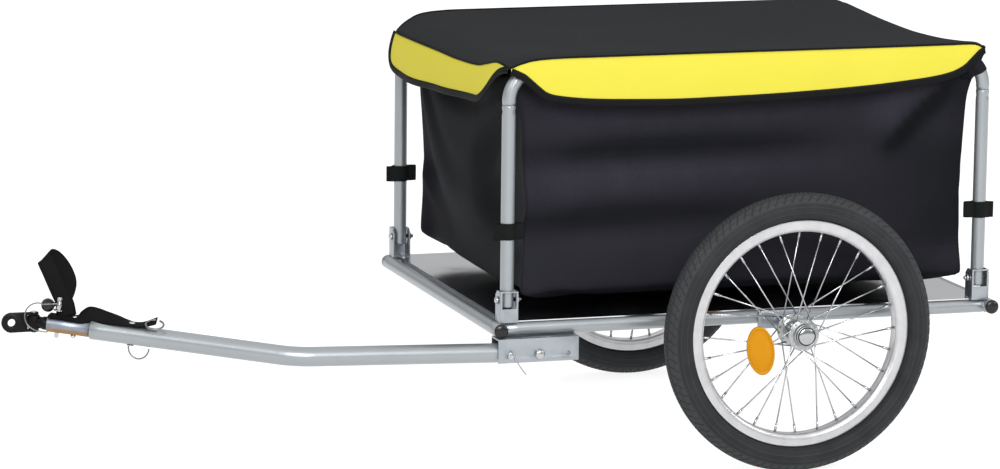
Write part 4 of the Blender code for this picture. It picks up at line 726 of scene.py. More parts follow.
# The box gets a mesh of its own.
crumple([cloth_box], 0.2690, 0.205)
BAG_WIDE + 2 * BAG_HIGH
BAG_LONG + 2 * BAG_HIGH
BAG_WIDE * BAG_LONG + 2 * BAG_HIGH * (BAG_LONG + BAG_WIDE)


def face_out(mesh):
    """Turn a mesh's faces the same way out."""
    shape = bmesh.new()
    shape.from_mesh(mesh)
    bmesh.ops.recalc_face_normals(shape, faces=shape.faces)
    shape.to_mesh(mesh)
    shape.free()


# Sleeves: the long walls' top edges are turned over the bows and stitched down below them. At the rear
# the hem's corner laps the hoop's bend.
SLEEVE_R = 0.0103
for side, s in SIDES:
    y = s * POST_Y
    bow = bent([(POST_FRONT, y, 0.5), (POST_FRONT, y, BOW_Z), (POST_REAR, y, BOW_Z), (POST_REAR, y, 0.5)],
               BOW_BEND, 24)
    path = np.vstack([bow[20:25], line(bow[24], bow[25], 0.010)[1:-1], bow[25:42]])
    around = np.radians(np.linspace(-62, 242, 27))
    loop = np.stack([SLEEVE_R * np.cos(around), SLEEVE_R * np.sin(around)], -1)
    hem = mm((-8.5, -11.5), (-10.4, -17), (-11.6, -24), (-10.6, -24), (-9, -18), (0, -15.5), (5.2, -12.5))
    section = np.vstack([loop, hem])[None]
    ruck = 0.0004 * np.sin(path[:, :1] * 150 + s) + 0.0003 * np.sin(path[:, :1] * 390)
    section = section + np.stack([0 * ruck, -ruck * 2], -1) * (section[..., 1:] < -0.012)
    section = section * np.array([s, 1.0])
    up = np.cross(unit(np.gradient(path, axis=0)), (0.0, -1.0, 0.0))
    grid = path[:, None] + section[..., :1] * np.array([0.0, 1.0, 0.0]) + section[..., 1:] * up[:, None]
    mesh = grid_mesh(side + "_sleeve", grid, round_columns=True)
    face_out(mesh)
    # The sleeves take one even level of the cloth's painted shading.
    mesh.attributes.new("painted_shading", "FLOAT", "POINT").data.foreach_set("value", np.full(len(mesh.vertices), 0.25))
    sleeve = show(side + "_sleeve", mesh, cloth, side + "_hoop")
    thicken(sleeve, 0.0006, 1.0)


# Cover: a charcoal top sheet with a yellow band sewn to each edge, the bands' lower edges bound with
# black tape. It lies over the bows and sags between them, and is slit at the corners.
charcoal = Finish("cover_cloth", "cover_cloth", Specular_IOR_Level=0.05)
x, y, z = charcoal.parts(charcoal.at)
threads = (x * 4800.0).sine() * (y * 4800.0).sine()
grain = charcoal.noise(540.0, 3.0, 0.6)
worn = charcoal.noise(6.0, 3.0, 0.6)
charcoal.feed(Base_Color=charcoal.mix(grain * 0.5 + worn * 0.5, (0.016, 0.018, 0.020), (0.026, 0.028, 0.030)),
              Roughness=0.80 + 0.14 * grain).bump(threads * 0.3 + grain, 0.00022)
yellow = Finish("yellow_cloth", "cover_cloth", Specular_IOR_Level=0.05)
x, y, z = yellow.parts(yellow.at)
threads = ((x + y) * 4800.0).sine() * (z * 4800.0).sine()
grain = yellow.noise(420.0, 3.0, 0.6)
worn = yellow.noise(8.0, 3.0, 0.6)
yellow.feed(Base_Color=yellow.mix(grain * 0.4 + worn * 0.6, (0.57, 0.51, 0.048), (0.64, 0.565, 0.066)),
            Roughness=0.52 + 0.18 * grain).bump(threads * 0.3 + grain, 0.00020)
tape = Finish("binding_tape", "cover_cloth", Specular_IOR_Level=0.05)
across, along, _ = tape.parts(tape.place("UV"))
ribs = (along * 5400.0).sine()
stitch = (1 - (across - 0.0042).size().rise(0.0004, 0.0007)) * (along * 1900.0).sine().rise(-0.1, 0.3)
tape.feed(Base_Color=tape.mix(stitch, (0.008, 0.008, 0.008), (0.030, 0.029, 0.027)),
          Roughness=0.62 + 0.12 * ribs).bump(ribs * 0.5 + stitch * 1.5, 0.00018)


def ribbon(name, path, width, thick, facing, finish, body):
    """Flat tape along a path: a section with rounded edges, its face towards `facing`."""
    cosine, sine = np.cos(angles(20)), np.sin(angles(20))
    section = np.stack([width / 2 * np.sign(cosine) * np.abs(cosine) ** 0.5,
                        thick / 2 * np.sign(sine) * np.abs(sine) ** 0.7], -1)
    mesh = grid_mesh(name, carried(path, section, facing), round_columns=True, ends=True,
                     across=np.linspace(0, 2 * (width + thick), 21), along=travelled(path))
    return show(name, mesh, finish, body)


# Seams and hems are measured from the axle: ahead, left and up from the floor.
FROM_AXLE = np.array([AXLE_X, 0, 0])
near_seam = mm((404, 274.5, 570.5), (396, 276.5, 573.5), (388, 277, 576.8), (366.6, 277, 581.7),
               (330.5, 277, 583.8), (270, 277, 584.2), (125.6, 277, 584.8), (-98.7, 277, 585.3),
               (-235.6, 277, 586), (-281.7, 277, 586.2), (-294, 276.5, 584.2), (-304, 274.5, 578.5))
far_seam = mm((404, -274.5, 556), (397, -276.5, 562.5), (386, -277, 570.5), (366.6, -277, 579.5),
              (330.5, -277, 583.5), (270, -277, 584.2), (125.6, -277, 584.6), (-98.7, -277, 585.2),
              (-235.6, -277, 585.6), (-281.7, -277, 585), (-294, -276.5, 583), (-304, -274.5, 578))
front_seam = mm((404, 274.5, 570.5), (407.5, 262, 574.2), (409, 233.2, 575), (409.8, 190, 567.5),
                (410, 145.6, 560.5), (410.5, 50, 556.7), (410.5, -38, 556.5), (410.5, -160, 555.5),
                (409, -254, 555.1), (404, -274.5, 556))
rear_seam = mm((-304, 274.5, 578.5), (-308.5, 262, 580), (-310.5, 210, 575.5), (-312, 120, 570),
               (-312.5, 0, 568), (-312, -120, 571.5), (-310.5, -210, 577), (-308.5, -262, 580.5),
               (-304, -274.5, 578))
top_columns, top_rows = 145, 97
near, far = flow(near_seam, top_columns), flow(far_seam, top_columns)
front, rear = flow(front_seam, top_rows), flow(rear_seam, top_rows)
u = np.linspace(0, 1, top_columns)[None, :, None]
v = np.linspace(0, 1, top_rows)[:, None, None]
top = ((1 - v) * near[None] + v * far[None] + (1 - u) * front[:, None] + u * rear[:, None]
       - (1 - u) * (1 - v) * near[0] - u * (1 - v) * near[-1] - (1 - u) * v * far[0] - u * v * far[-1])
inner = (np.sin(np.pi * u) * np.sin(np.pi * v))[..., 0]
tx, ty = top[..., 0], top[..., 1]
bowline = np.exp(-((np.abs(ty) - 0.262) / 0.009) ** 2)
top[..., 2] += 0.0012 * bowline * np.clip(1.6 * np.sin(np.pi * u[..., 0]), 0, 1) - 0.0075 * inner ** 0.8
top[..., 2] += 0.0011 * inner * np.sin(tx * 31 + ty * 9 + 0.6)
top[..., 2] += 0.0009 * inner * np.sin(ty * 43 - tx * 14) * np.sin(tx * 8)
near_fold = np.exp(-((tx - 0.335 + (0.277 - ty) * 0.55) / 0.010) ** 2) * np.clip((ty - 0.02) / 0.10, 0, 1)
top[..., 2] += 0.0022 * near_fold * np.clip(inner * 5, 0, 1)
dent = np.exp(-((tx - 0.372) / 0.022) ** 2 - ((ty + 0.225) / 0.030) ** 2)
top[..., 2] -= 0.0055 * dent * np.clip(inner * 7, 0, 1)
top_mesh = grid_mesh("cover_top_sheet", top + FROM_AXLE)
top_sheet = show("cover_top_sheet", top_mesh, charcoal, "cover_body", "cover")
if top_sheet.data.polygons[0].normal.z < 0:
    top_sheet.data.flip_normals()
thicken(top_sheet, 0.0010)

near_hem = mm((401.5, 278.5, 567), (392, 279, 562.5), (382.8, 280, 557.5), (366.7, 281, 543.5),
              (352.1, 282, 532.5), (330.3, 282.5, 526.8), (280, 283, 521.5), (200, 283, 518.8),
              (124.9, 283, 518.2), (0, 283, 521.5), (-99.5, 283, 526.2), (-200, 282.5, 534.5),
              (-245, 282, 541.2), (-270, 281, 550.5), (-285, 279.5, 562.5), (-296, 278, 572.5),
              (-303, 276.5, 576.5))
far_hem = near_hem * (1, -1, 1)
far_hem[:2] = mm((401.5, -278.5, 556), (392.5, -279, 553.5))
front_hem = mm((406.5, 272.5, 568.5), (409.5, 260, 566.5), (411.5, 243.1, 560), (413.5, 227, 549),
               (415, 211.8, 536.3), (416.5, 193, 523.5), (417, 174, 516.5), (417, 150, 514.5),
               (416.5, 100, 511), (416, 30, 506.5), (416, -36.4, 503), (416, -120, 498.5),
               (416, -184.1, 497.5), (416, -235, 499.5), (415.5, -260, 503.5), (414.5, -273.5, 512),
               (413, -278.5, 526), (410, -277.5, 542), (406.5, -275, 555))
rear_hem = mm((-306, 274, 576.5), (-312, 250, 566), (-315, 220, 542), (-317.5, 185, 524), (-319, 120, 515),
              (-320, 0, 511), (-319, -120, 515), (-317.5, -185, 524), (-315, -220, 542), (-312, -250, 566),
              (-306, -274, 576.5))


WAVES = 38


def band(name, seam, hem, axis, outward, wave):
    """Yellow band from a seam down to a hem: a soft swell, and waves that grow towards the hem.

    Points of the two edges are matched by their place along `axis`; `outward` is the band's facing.
    """
    upper, lower = flow(seam, 600), flow(hem, 600)
    low_end = max(min(upper[0, axis], upper[-1, axis]), lower[:, axis].min())
    high_end = min(max(upper[0, axis], upper[-1, axis]), lower[:, axis].max())
    places = np.linspace(high_end, low_end, 141)

    def matched(curve):
        order = np.argsort(curve[:, axis])
        return np.stack([np.interp(places, curve[order, axis], curve[order, k]) for k in range(3)], -1)

    head, foot = matched(upper), matched(lower)
    t = np.linspace(0, 1, 12)[:, None, None]
    deep = np.linalg.norm(head - foot, axis=1)[:, None]
    swell = 0.055 * deep * np.sin(np.pi * t ** 0.8)
    swell = swell + wave * t ** 1.5 * np.sin(places * WAVES + 1.0)[:, None] * deep / 0.06
    mesh = grid_mesh(name, head * (1 - t) + foot * t + swell * outward + FROM_AXLE)
    if mesh.polygons[len(mesh.polygons) // 2].normal.dot(Vector(outward)) < 0:
        mesh.flip_normals()
    made = show(name, mesh, yellow, "cover_body")
    thicken(made, 0.0008)
    return made, float(np.trapz(deep[:, 0], np.abs(places - places[0])))


COVER_SINKS = (0.3125, 0.25)
for name, seam, hem, axis, outward, wave in (
        ("near", near_seam, near_hem, 0, (0, 1, 0), 0.0009),
        ("far", far_seam, far_hem, 0, (0, -1, 0), 0.0009),
        ("front", front_seam, front_hem, 1, (1, 0, 0), 0.0016),
        ("rear", rear_seam, rear_hem, 1, (-1, 0, 0), 0.0020)):
    outward = np.array(outward, dtype=float)
    made, area = band(name + "_band", seam, hem, axis, outward, wave)
    edge = flow(hem, 180)
    edge_out = 0.0004 + 0.9 * wave * np.sin(edge[:, axis:axis + 1] * WAVES + 1.0)
    binding = ribbon(name + "_binding", edge + FROM_AXLE + edge_out * outward, 0.0100, 0.0026, outward, tape,
                     "cover_body")
    welt_path = flow(seam, 160) + FROM_AXLE + outward * 0.0002 + (0, 0, 0.0002)
    welt = ribbon(name + "_seam", welt_path, 0.0030, 0.0016, outward + (0, 0, 0.8), tape, "cover_body")
    length = float(travelled(flow(seam, 60))[-1])
    crumple([made, binding, welt], *COVER_SINKS)
crumple([top_sheet], *COVER_SINKS)


# Ties: hook-and-loop straps sewn to the box's corners. Each goes round its post from both sides and
# closes on itself in front of it, where its two ends stick out.
webbing = Finish("black_webbing", "black_webbing", Specular_IOR_Level=0.06)
across, along, _ = webbing.parts(webbing.place("UV"))
weave = (across * 3100.0).sine() * (along * 2300.0).sine() + 0.5 * (along * 4600.0 + across * 1500.0).sine()
fuzz = webbing.noise(900.0, 3.0, 0.7)
webbing.feed(Base_Color=webbing.mix(fuzz, (0.004, 0.005, 0.005), (0.014, 0.015, 0.015)),
             Roughness=0.68 + 0.16 * fuzz).bump(weave * 0.6 + fuzz, 0.00035)
TIE_R = 0.0109
for side, s in SIDES:
    for end, x, outward in POSTS:
        z = 0.343 if end == "front" else 0.346
        for half, way, tail in (("outer", 1, 0.0215), ("inner", -1, 0.0190)):
            round_post = [(-TIE_R * math.cos(a), TIE_R * math.sin(a))
                          for a in np.radians((20, 45, 75, 105, 132))]
            plan = [(-0.0235, 0.0010), (-0.0185, 0.0030), *round_post, (0.0135, 0.0026), (0.0170, 0.0009),
                    (tail, 0.0009 + way * 0.0004)]
            path = flow([(x + outward * a, s * (POST_Y + way * b), z - 0.0010 * (a > 0.012))
                         for a, b in plan], 70)
            made = ribbon(f"{side}_{end}_{half}_tie", path, 0.023, 0.0015,
                          np.cross(np.gradient(path, axis=0), (0, 0, 1)), webbing, side + "_hoop")
            if half == "outer":
                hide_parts(f"{side}_{end}_tie")


# Wheels: rubber tyre on an aluminium rim, 28 steel spokes laced two-cross into a small-flange hub that
# runs on two bearings, with an amber reflector on the spokes.
rubber = Finish("tyre_rubber", "tyre_rubber", Specular_IOR_Level=0.22)
dust = rubber.noise(26.0, 4.0, 0.65)
pits = rubber.noise(800.0, 3.0, 0.6)
over, around, _ = rubber.parts(rubber.place("UV"))
off_middle = over.size()
tread = 1 - off_middle.rise(0.0215, 0.0265)
inner_ring = 1 - (off_middle - 0.0385).size().rise(0.0002, 0.0008)
rings = (1 - (off_middle - 0.0300).size().rise(0.0002, 0.0007)) + inner_ring
moulded = (around * 2600.0 + over * 900.0).sine() * 0.5 + (around * 2600.0 - over * 900.0).sine() * 0.5
rubber.feed(Base_Color=rubber.mix(dust * 0.45 + tread * (0.10 + 0.55 * pits) + rings * 0.35 - 0.06,
                                  (0.009, 0.010, 0.012), (0.050, 0.054, 0.056)),
            Roughness=0.56 + 0.20 * pits).bump(pits + moulded * 0.25 + rings * 2.0, 0.00012)
rim_metal = Finish("rim_aluminium", "rim_aluminium", Metallic=0.95)
drawn = rim_metal.noise(70.0, 3.0, 0.6)
streak = rim_metal.noise(500.0, 2.0, 0.6)
rim_metal.feed(Base_Color=rim_metal.mix(drawn, (0.50, 0.50, 0.51), (0.70, 0.70, 0.71)),
               Roughness=0.24 + 0.12 * streak + 0.08 * drawn).bump(streak, 0.00002)
spoke_steel = plain_metal("spoke_steel", "zinc_steel", 1.0, (60.0, 3.0), (0.40, 0.41, 0.43),
                          (0.56, 0.57, 0.59), 0.18, 0.14, (300.0, 2.0))
cast = Finish("hub_zinc", "zinc_steel", Metallic=0.9)
turned_marks = cast.noise(300.0, 3.0, 0.6)
cloudy = cast.noise(30.0, 4.0, 0.6)
cast.feed(Base_Color=cast.mix(cloudy, (0.32, 0.34, 0.34), (0.50, 0.52, 0.52)),
          Roughness=0.22 + 0.16 * turned_marks).bump(turned_marks + cloudy, 0.00003)
chrome = plain_metal("button_chrome", "zinc_steel", 1.0, (80.0, 2.0), (0.40, 0.41, 0.41), (0.52, 0.53, 0.53),
                     0.10, 0.08, (240.0, 3.0))
dark_ring = plain_metal("cup_ring", "black_plastic", 0.5, (200.0, 2.0), (0.030, 0.030, 0.032),
                        (0.060, 0.060, 0.062), 0.35, 0.1, (500.0, 2.0))
amber = Finish("amber_lens", "amber_lens", Coat_Weight=0.12, Coat_Roughness=0.08, Specular_IOR_Level=0.1,
               Subsurface_Weight=0.15, Subsurface_Radius=(0.004, 0.002, 0.0005))
x, _, z = amber.parts(amber.at)
cells = (x * 2100.0).sine() * (x * 1050.0 + z * 1819.0).sine() * (x * 1050.0 - z * 1819.0).sine()
halves = amber.noise(45.0, 2.0)
amber.feed(Base_Color=amber.mix(cells * 0.4 + halves * 0.6, (0.50, 0.20, 0.0005), (0.60, 0.27, 0.001)),
           Roughness=0.22 + 0.12 * halves).bump(cells, 0.00030)

WHEEL_Y, WHEEL_R, TYRE_R = 0.350, 0.1975, 0.0235
HUB_FLANGE, SPOKE_RING, SPOKE_COUNT = 0.022, 0.0195, 28
TREAD_BLOCKS, TYRE_STEPS = 96, 1320


def groove(distance, half):
    """1 in a groove's bed, down to 0 beside it."""
    return np.clip(1.5 - np.abs(distance) / half, 0, 1)


def tyre_grid(middle, s):
    """Tyre: a round section whose crown is cut by grooves into blocks, swept round the wheel.

    height(across, around) = crown - depth x (zigzag grooves + slanted grooves + shoulder grooves).
    """
    wall = np.array([-118.0, -110, -102, -96, -92, -88, -82, -76, -70, -66])
    angle = np.radians(np.concatenate([wall, np.linspace(-62, 62, 47), -wall[::-1]]))[None]
    turn = angles(TYRE_STEPS)[:, None]
    w, off, degrees = angle * TYRE_R, np.abs(angle * TYRE_R), np.degrees(np.abs(angle))
    pitch = turn * TREAD_BLOCKS / (2 * np.pi)
    zigzag = 0.0046 + 0.0016 * np.abs(((pitch * 2) % 1.0) - 0.5) * 4
    ring_grooves = np.maximum(groove(w - zigzag, 0.0008), groove(w + zigzag, 0.0008))
    slant = groove((((pitch + off * 55) % 1.0) - 0.5) * 0.0129, 0.0011) * (off > 0.0062) * (off < 0.0215)
    sipe = groove((((pitch * 2 + w * 60) % 1.0) - 0.5) * 0.0065, 0.0007) * (off < 0.0040)
    shoulder = groove(off - 0.0150, 0.0006)
    depth = np.maximum(np.maximum(ring_grooves, slant), np.maximum(sipe * 0.7, shoulder * 0.8)) * 0.0021
    rib = 0.0005 * (groove(degrees - 92, 1.6) + groove(degrees - 110, 1.6))
    radius = TYRE_R - 0.0009 * (off >= 0.0225) + rib - depth
    bead = mm((17.5, 163.2), (13.8, 161.9), (10.3, 161.6), (9.9, 159), (9.9, 153.2))
    bead = np.vstack([bead, bead[::-1] * (-1, 1)])
    beads = np.broadcast_to(bead, (TYRE_STEPS, *bead.shape))
    y = np.concatenate([radius * np.sin(angle), beads[..., 0]], 1)
    r = np.concatenate([(WHEEL_R - TYRE_R) + radius * np.cos(angle), beads[..., 1]], 1)
    grid = np.stack([middle[0] + r * np.cos(turn), middle[1] + s * y, middle[2] + r * np.sin(turn)], -1)
    run = np.concatenate([w[0], w[0, -1] + np.arange(1, len(bead) + 2) * 0.004])
    return grid, run, np.linspace(0, 2 * np.pi * WHEEL_R, TYRE_STEPS + 1)


def rods(starts, ends, radius, sides=8):
    """Many round wires in one mesh: from each start to its end, with closed ends."""
    run = unit(ends - starts)
    first = unit(np.cross(run, (0.13, 0.94, 0.31)))
    second = np.cross(run, first)
    turn = angles(sides)[None, :, None]
    hoop = (np.cos(turn) * first[:, None] + np.sin(turn) * second[:, None]) * radius
    corners = np.concatenate([starts[:, None] + hoop, ends[:, None] + hoop], 1)
    base = np.arange(len(starts))[:, None, None] * 2 * sides
    i = np.arange(sides)
    quads = np.stack([i, (i + 1) % sides, sides + (i + 1) % sides, sides + i], -1)[None] + base
    caps = np.stack([i[::-1], sides + i])[None] + base
    return corners.reshape(-1, 3), quads.reshape(-1, 4).tolist() + caps.reshape(-1, sides).tolist()


half = mm((152.6, 0), (152.2, 9), (153, 10.4), (160.4, 10.6), (161, 11.1), (161.1, 11.8), (160.7, 12.7),
          (159.8, 13), (157.5, 12.8), (152, 12.6), (148.8, 12.2), (146.8, 11.2), (144.8, 9.4), (143.7, 7.8),
          (143.3, 5.5), (143.2, 0))
rim_section = np.vstack([half, half[-2:0:-1] * (1, -1)])
half = mm((11.8, 0), (11.9, 12), (12.2, 16), (13.5, 18.8), (16.5, 20.1), (21.8, 20.5), (22.5, 21), (22.7, 22),
          (22.4, 23), (21.6, 23.5), (17.2, 23.6), (16.6, 24), (16.5, 30), (16, 30.8), (15, 31), (14.5, 30.6))
bore = mm((14.3, 24), (6.8, 23.8), (6.8, -23.8), (14.3, -24))
hub_section = np.vstack([half, bore, half[:0:-1] * (1, -1)])

# The axle's head is a cup round the push button: a silver rim, a dark rubber ring and a polished dome.
FACE = 0.0313
shank = mm((0.1, -71.1), (4.5, -71.1), (6, -69.1), (6, -49.7), (8.7, -49.6), (9, -49.2), (9, -32.2),
           (8.7, -31.4), (6, -31.6))
cup = mm((6, 0), (14.1, 0), (14.6, 0.6), (14.7, 2.4), (14.3, 3.2), (13.6, 3.3), (13.1, 3), (12.8, 1.1),
         (3, 1), (3, 2.8), (0.1, 2.8))
axle = np.vstack([shank, cup + (0, FACE)])
gasket = ring(1.0, 12) * (0.0005, 0.0009) + (0.01245, FACE + 0.0027)
swell = np.radians(np.linspace(90, 0, 14))
dome = np.stack([0.0002 + 0.0112 * np.cos(swell), 0.0035 + 0.0019 * np.sin(swell) ** 1.3], -1)
stem = mm((11.6, 3.4), (11.3, 2.6), (3.4, 2.6), (3.4, 4.4), (0.1, 4.4))
button = np.vstack([dome, stem]) + (0, FACE)

# Reflector: an oval amber lens in its own moulded rim, clipped to the spokes. Its profile is a share of
# the oval's half widths, in thousandths, and a height in millimetres.
oval = mm((2, 1.3), (450, 1.4), (840, 1.2), (865, 0.7), (885, 1.8), (915, 2.4), (965, 2.4), (993, 1.6),
          (1000, 0.4), (1000, -1.8), (975, -2.4), (300, -2.4), (2, -2.4))[:, None]


for side, s in SIDES:
    middle, out = np.array([AXLE_X, s * WHEEL_Y, WHEEL_R]), np.array([0.0, s, 0.0])
    body = side + "_wheel"
    grid, run, length = tyre_grid(middle, s)
    casing = grid_mesh(side + "_casing", grid, round_rows=True, round_columns=True, across=run, along=length)
    show(side + "_casing", casing, rubber, body, side + "_tyre")
    lathe(side + "_rim_ring", rim_section, middle, out, rim_metal, body, side + "_rim", count=180,
          ring_shaped=True)
    order = np.arange(SPOKE_COUNT)
    flange = np.where(order % 2 == 0, 1, -1)
    lead = np.where((order // 2) % 2 == 0, 1, -1)
    hole = 2 * np.pi * order / SPOKE_COUNT
    reach = hole + lead * 4 * np.pi * 2 / SPOKE_COUNT
    across_wheel = np.array(Vector(out).to_track_quat("Z", "Y").to_matrix())

    def on_wheel(radius, angle, height):
        """Point of the wheel: distance from the axle, turn about it, and height along it."""
        flat = np.stack([radius * np.cos(angle), radius * np.sin(angle)], -1)
        return middle + flat @ across_wheel[:, :2].T + np.outer(height, out)

    elbow = on_wheel(SPOKE_RING, hole, flange * (HUB_FLANGE + lead * 0.0014))
    rim_end = on_wheel(0.1425, reach, flange * 0.0020)
    through = on_wheel(SPOKE_RING, hole, flange * (HUB_FLANGE - lead * 0.0016))
    head = on_wheel(SPOKE_RING, hole, flange * (HUB_FLANGE - lead * 0.0022))
    along_spoke = unit(rim_end - elbow)
    corners, faces = [], []
    for start, stop, radius in ((elbow, rim_end, 0.00100), (through, elbow + along_spoke * 0.0004, 0.00100),
                                (head, through, 0.00185),
                                (rim_end - along_spoke * 0.0105, rim_end + along_spoke * 0.0006, 0.0018),
                                (rim_end - along_spoke * 0.0120, rim_end - along_spoke * 0.0104, 0.0014)):
        wire_corners, wire_faces = rods(start, stop, radius)
        faces += [[k + len(corners) for k in face] for face in wire_faces]
        corners += wire_corners.tolist()
    spokes = bpy.data.meshes.new(side + "_spoke_set")
    spokes.from_pydata(corners, [], faces)
    face_out(spokes)
    spokes.polygons.foreach_set("use_smooth", [len(face) == 4 for face in faces])
    show(side + "_spoke_set", spokes, spoke_steel, body)
    lathe(side + "_hub_shell", hub_section, middle, out, cast, body, side + "_hub", count=72,
          ring_shaped=True)
    for place in ("outer", "inner"):
        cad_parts[f"{side}_{place}_bearing"].data.materials[0] = steel.material

    lathe(side + "_axle_cup", axle, middle, out, cast, side + "_axle_body", side + "_axle", count=64)
    lathe(side + "_cup_ring", gasket, middle, out, dark_ring, side + "_axle_body", count=64, ring_shaped=True)
    lathe(side + "_button", button, middle, out, chrome, side + "_button_body", side + "_push_button",
          count=64)

    low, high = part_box(side + "_reflector")
    facing = unit(out + unit(np.array([0.0618, 0.0, -0.0198])) * 0.1616)
    upright = np.array(Matrix.Rotation(math.radians(9.0 * s), 3, Vector(out)) @ Vector((0, 0, 1)))
    wide = unit(np.cross(upright, facing))
    upright = np.cross(facing, wide)
    turn = angles(72)[:, None]
    lens_edge = 0.0195 * np.cos(turn) * wide + 0.035 * np.sin(turn) * upright
    points = (np.array(low) + np.array(high)) / 2 + oval[..., :1] * lens_edge + oval[..., 1:] * facing
    show(side + "_lens", grid_mesh(side + "_lens", points, round_columns=True, ends=True), amber, body,
         side + "_reflector")

# Axle receivers: zinc-plated plates bolted to the side rails, each with a boss for the axle.
for side, _ in SIDES:
    softened(side + "_axle_receiver", side + "_receiver", zinc, "frame", 0.0005)


# Drawbar bracket: a folded zinc-plated channel under the left rail. The drawbar turns on a bolt through
# its cheeks and is held by a pull pin, which a bent wire clip keeps in.
softened("drawbar_channel", "bracket_channel", zinc, "frame", 0.0007)
PIVOT = np.array([AXLE_X + 0.359, 0.2725, 0.1722])
PIN = PIVOT + (0.042, 0, 0)
CHEEK = (0, 0.0169)
pivot_head = mm((0.1, 4.6), (4.4, 4.5), (6, 3.6), (6.9, 2), (7.2, 0.4), (7, 0), (4, 0))
pivot_nut = mm((4, 0), (6.8, 0), (7.2, -0.5), (7.2, -3.8), (6.6, -4.5), (0.1, -4.5))
lathe("pivot_bolt", np.vstack([pivot_head + CHEEK, pivot_nut - CHEEK]), PIVOT, (0, 1, 0), steel, "frame",
      "drawbar_pivot_bolt", count=40)
pin_head = mm((0.1, 4), (3.8, 4), (5, 3.2), (5.5, 2), (5.5, 0.4), (5.2, 0), (3, 0))
pin_tip = mm((3, 14.2), (2.4, 13.8), (0.1, 13.8))
lathe("pull_pin", np.vstack([pin_head + CHEEK, pin_tip]), PIN, (0, 1, 0), steel, "lock_pin_body", "lock_pin",
      count=32)
clip = mm((3.5, 0, -4), (4.2, 0, 0.5), (3, 0, 3.5), (0, 0, 4.4), (-3, 0, 3.5), (-4.5, 0, -1), (-6.2, 0, -6),
          (-9.5, 0, -11.5), (-12.5, 0, -16), (-16.5, 0, -21.5), (-21, 0, -26.8))
tube("pull_pin_clip", flow(PIN + clip + (0, CHEEK[1] + 0.0044, 0), 48), 0.0009, steel, "lock_pin_body",
     side=(0, 1, 0), edge=0.0003, count=10)


# Drawbar: one bent tube sprayed like the frame, with a thinner zinc-plated tube in its front end, held
# by a pin with a half ring.
BAR_R, COUPLING_R = 0.0135, 0.011
BEND = np.array([AXLE_X + 0.705, 0.2725, 0.1826])
MOUTH = np.array([AXLE_X + 1.0163, 0.120, 0.2155])
AHEAD = unit(MOUTH - BEND)
BESIDE = unit(np.cross((0.0, 0.0, 1.0), AHEAD))
ABOVE = np.cross(AHEAD, BESIDE)


def on_bar(back, left=0.0, up=0.0):
    """Point by the coupling tube: distance behind its mouth, to its left and above its axis."""
    return MOUTH - AHEAD * back + BESIDE * left + ABOVE * up


slope = (BEND[2] - PIVOT[2]) / (BEND[0] - PIVOT[0])
rear_end = PIVOT - np.array([0.012, 0, 0.012 * slope])
bar_path = bent([rear_end, BEND, on_bar(0.061)], 0.110, 40)
bar_path = np.vstack([line(bar_path[0], bar_path[1], 0.02)[:-1], bar_path[1:-2],
                      line(bar_path[-2], bar_path[-1], 0.02)])
tube("drawbar_bar", bar_path, BAR_R, silver, "drawbar", "drawbar_tube", edge=0.0009, count=48)
plated = Finish("plated_tube", "rim_aluminium", Metallic=0.95)
haze = plated.noise(40.0, 4.0, 0.6)
drawn_lines = plated.noise(420.0, 2.0, 0.5)
back, left, up = plated.parts(plated.at)
# Painted reflection: the coupling tube is golden brown below its axis, as a warm floor would mirror in it,
# and bluish above it, as the sky would.
above_axis = back * ABOVE[0] + left * ABOVE[1] + up * ABOVE[2] - float(MOUTH @ ABOVE)
painted_sky_reflection = plated.mix(haze, (0.20, 0.23, 0.27), (0.32, 0.35, 0.40))
painted_floor_reflection = plated.mix(haze, (0.22, 0.12, 0.05), (0.40, 0.24, 0.11))
plated.feed(Base_Color=plated.mix((above_axis + haze * 0.003).rise(-0.0045, 0.0005), painted_floor_reflection, painted_sky_reflection),
            Roughness=0.30 + 0.14 * haze + 0.06 * drawn_lines).bump(drawn_lines, 0.00003)
sleeve_tube = mm((9.2, 0), (10.4, 0), (10.9, 0.3), (11, 1), (11, 72), (9.2, 72))
lathe("coupling_sleeve", sleeve_tube, MOUTH, -AHEAD, plated, "drawbar", "coupling_tube", ring_shaped=True)
STRAP_TOP = (0, 0.0160)
pin_head = mm((0.1, 2.4), (2, 2.3), (3.8, 1.7), (4.8, 0.8), (5, 0.2), (3, 0))
pin_foot = mm((3, -13.8), (5, -13.8), (4.9, -14.8), (4.2, -15.3), (0.1, -15.3))
lathe("tube_rivet", np.vstack([pin_head + STRAP_TOP, pin_foot]), on_bar(0.118), ABOVE, steel, "drawbar",
      "tube_pin", count=32)
wire_steel = Finish("spring_wire", "zinc_steel", Metallic=1.0)
tarnish = wire_steel.noise(140.0, 3.0, 0.6)
wire_steel.feed(Base_Color=wire_steel.mix(tarnish, (0.14, 0.14, 0.14), (0.34, 0.33, 0.32)),
                Roughness=0.30 + 0.15 * tarnish)
ring_path = np.array([on_bar(0.130 - 0.0145 * math.cos(a), 0, -0.0162 - 0.01595 * math.sin(a))
                      for a in np.linspace(0, np.pi, 33)])
tube("half_ring_wire", ring_path, 0.0011, wire_steel, "half_ring_body", "half_ring", side=BESIDE, edge=0.0003,
     count=10)
rivet_head = mm((0.1, -0.3), (2.2, -0.5), (3.6, -1.1), (4, -2.3), (2, -2.4))
rivet_foot = mm((2, -11.2), (3.6, -11.2), (3.4, -14), (2.4, -15), (0.1, -15))
lathe("strap_rivet", np.vstack([rivet_head + STRAP_TOP, rivet_foot]), on_bar(0.0370), ABOVE, steel, "drawbar",
      count=28)


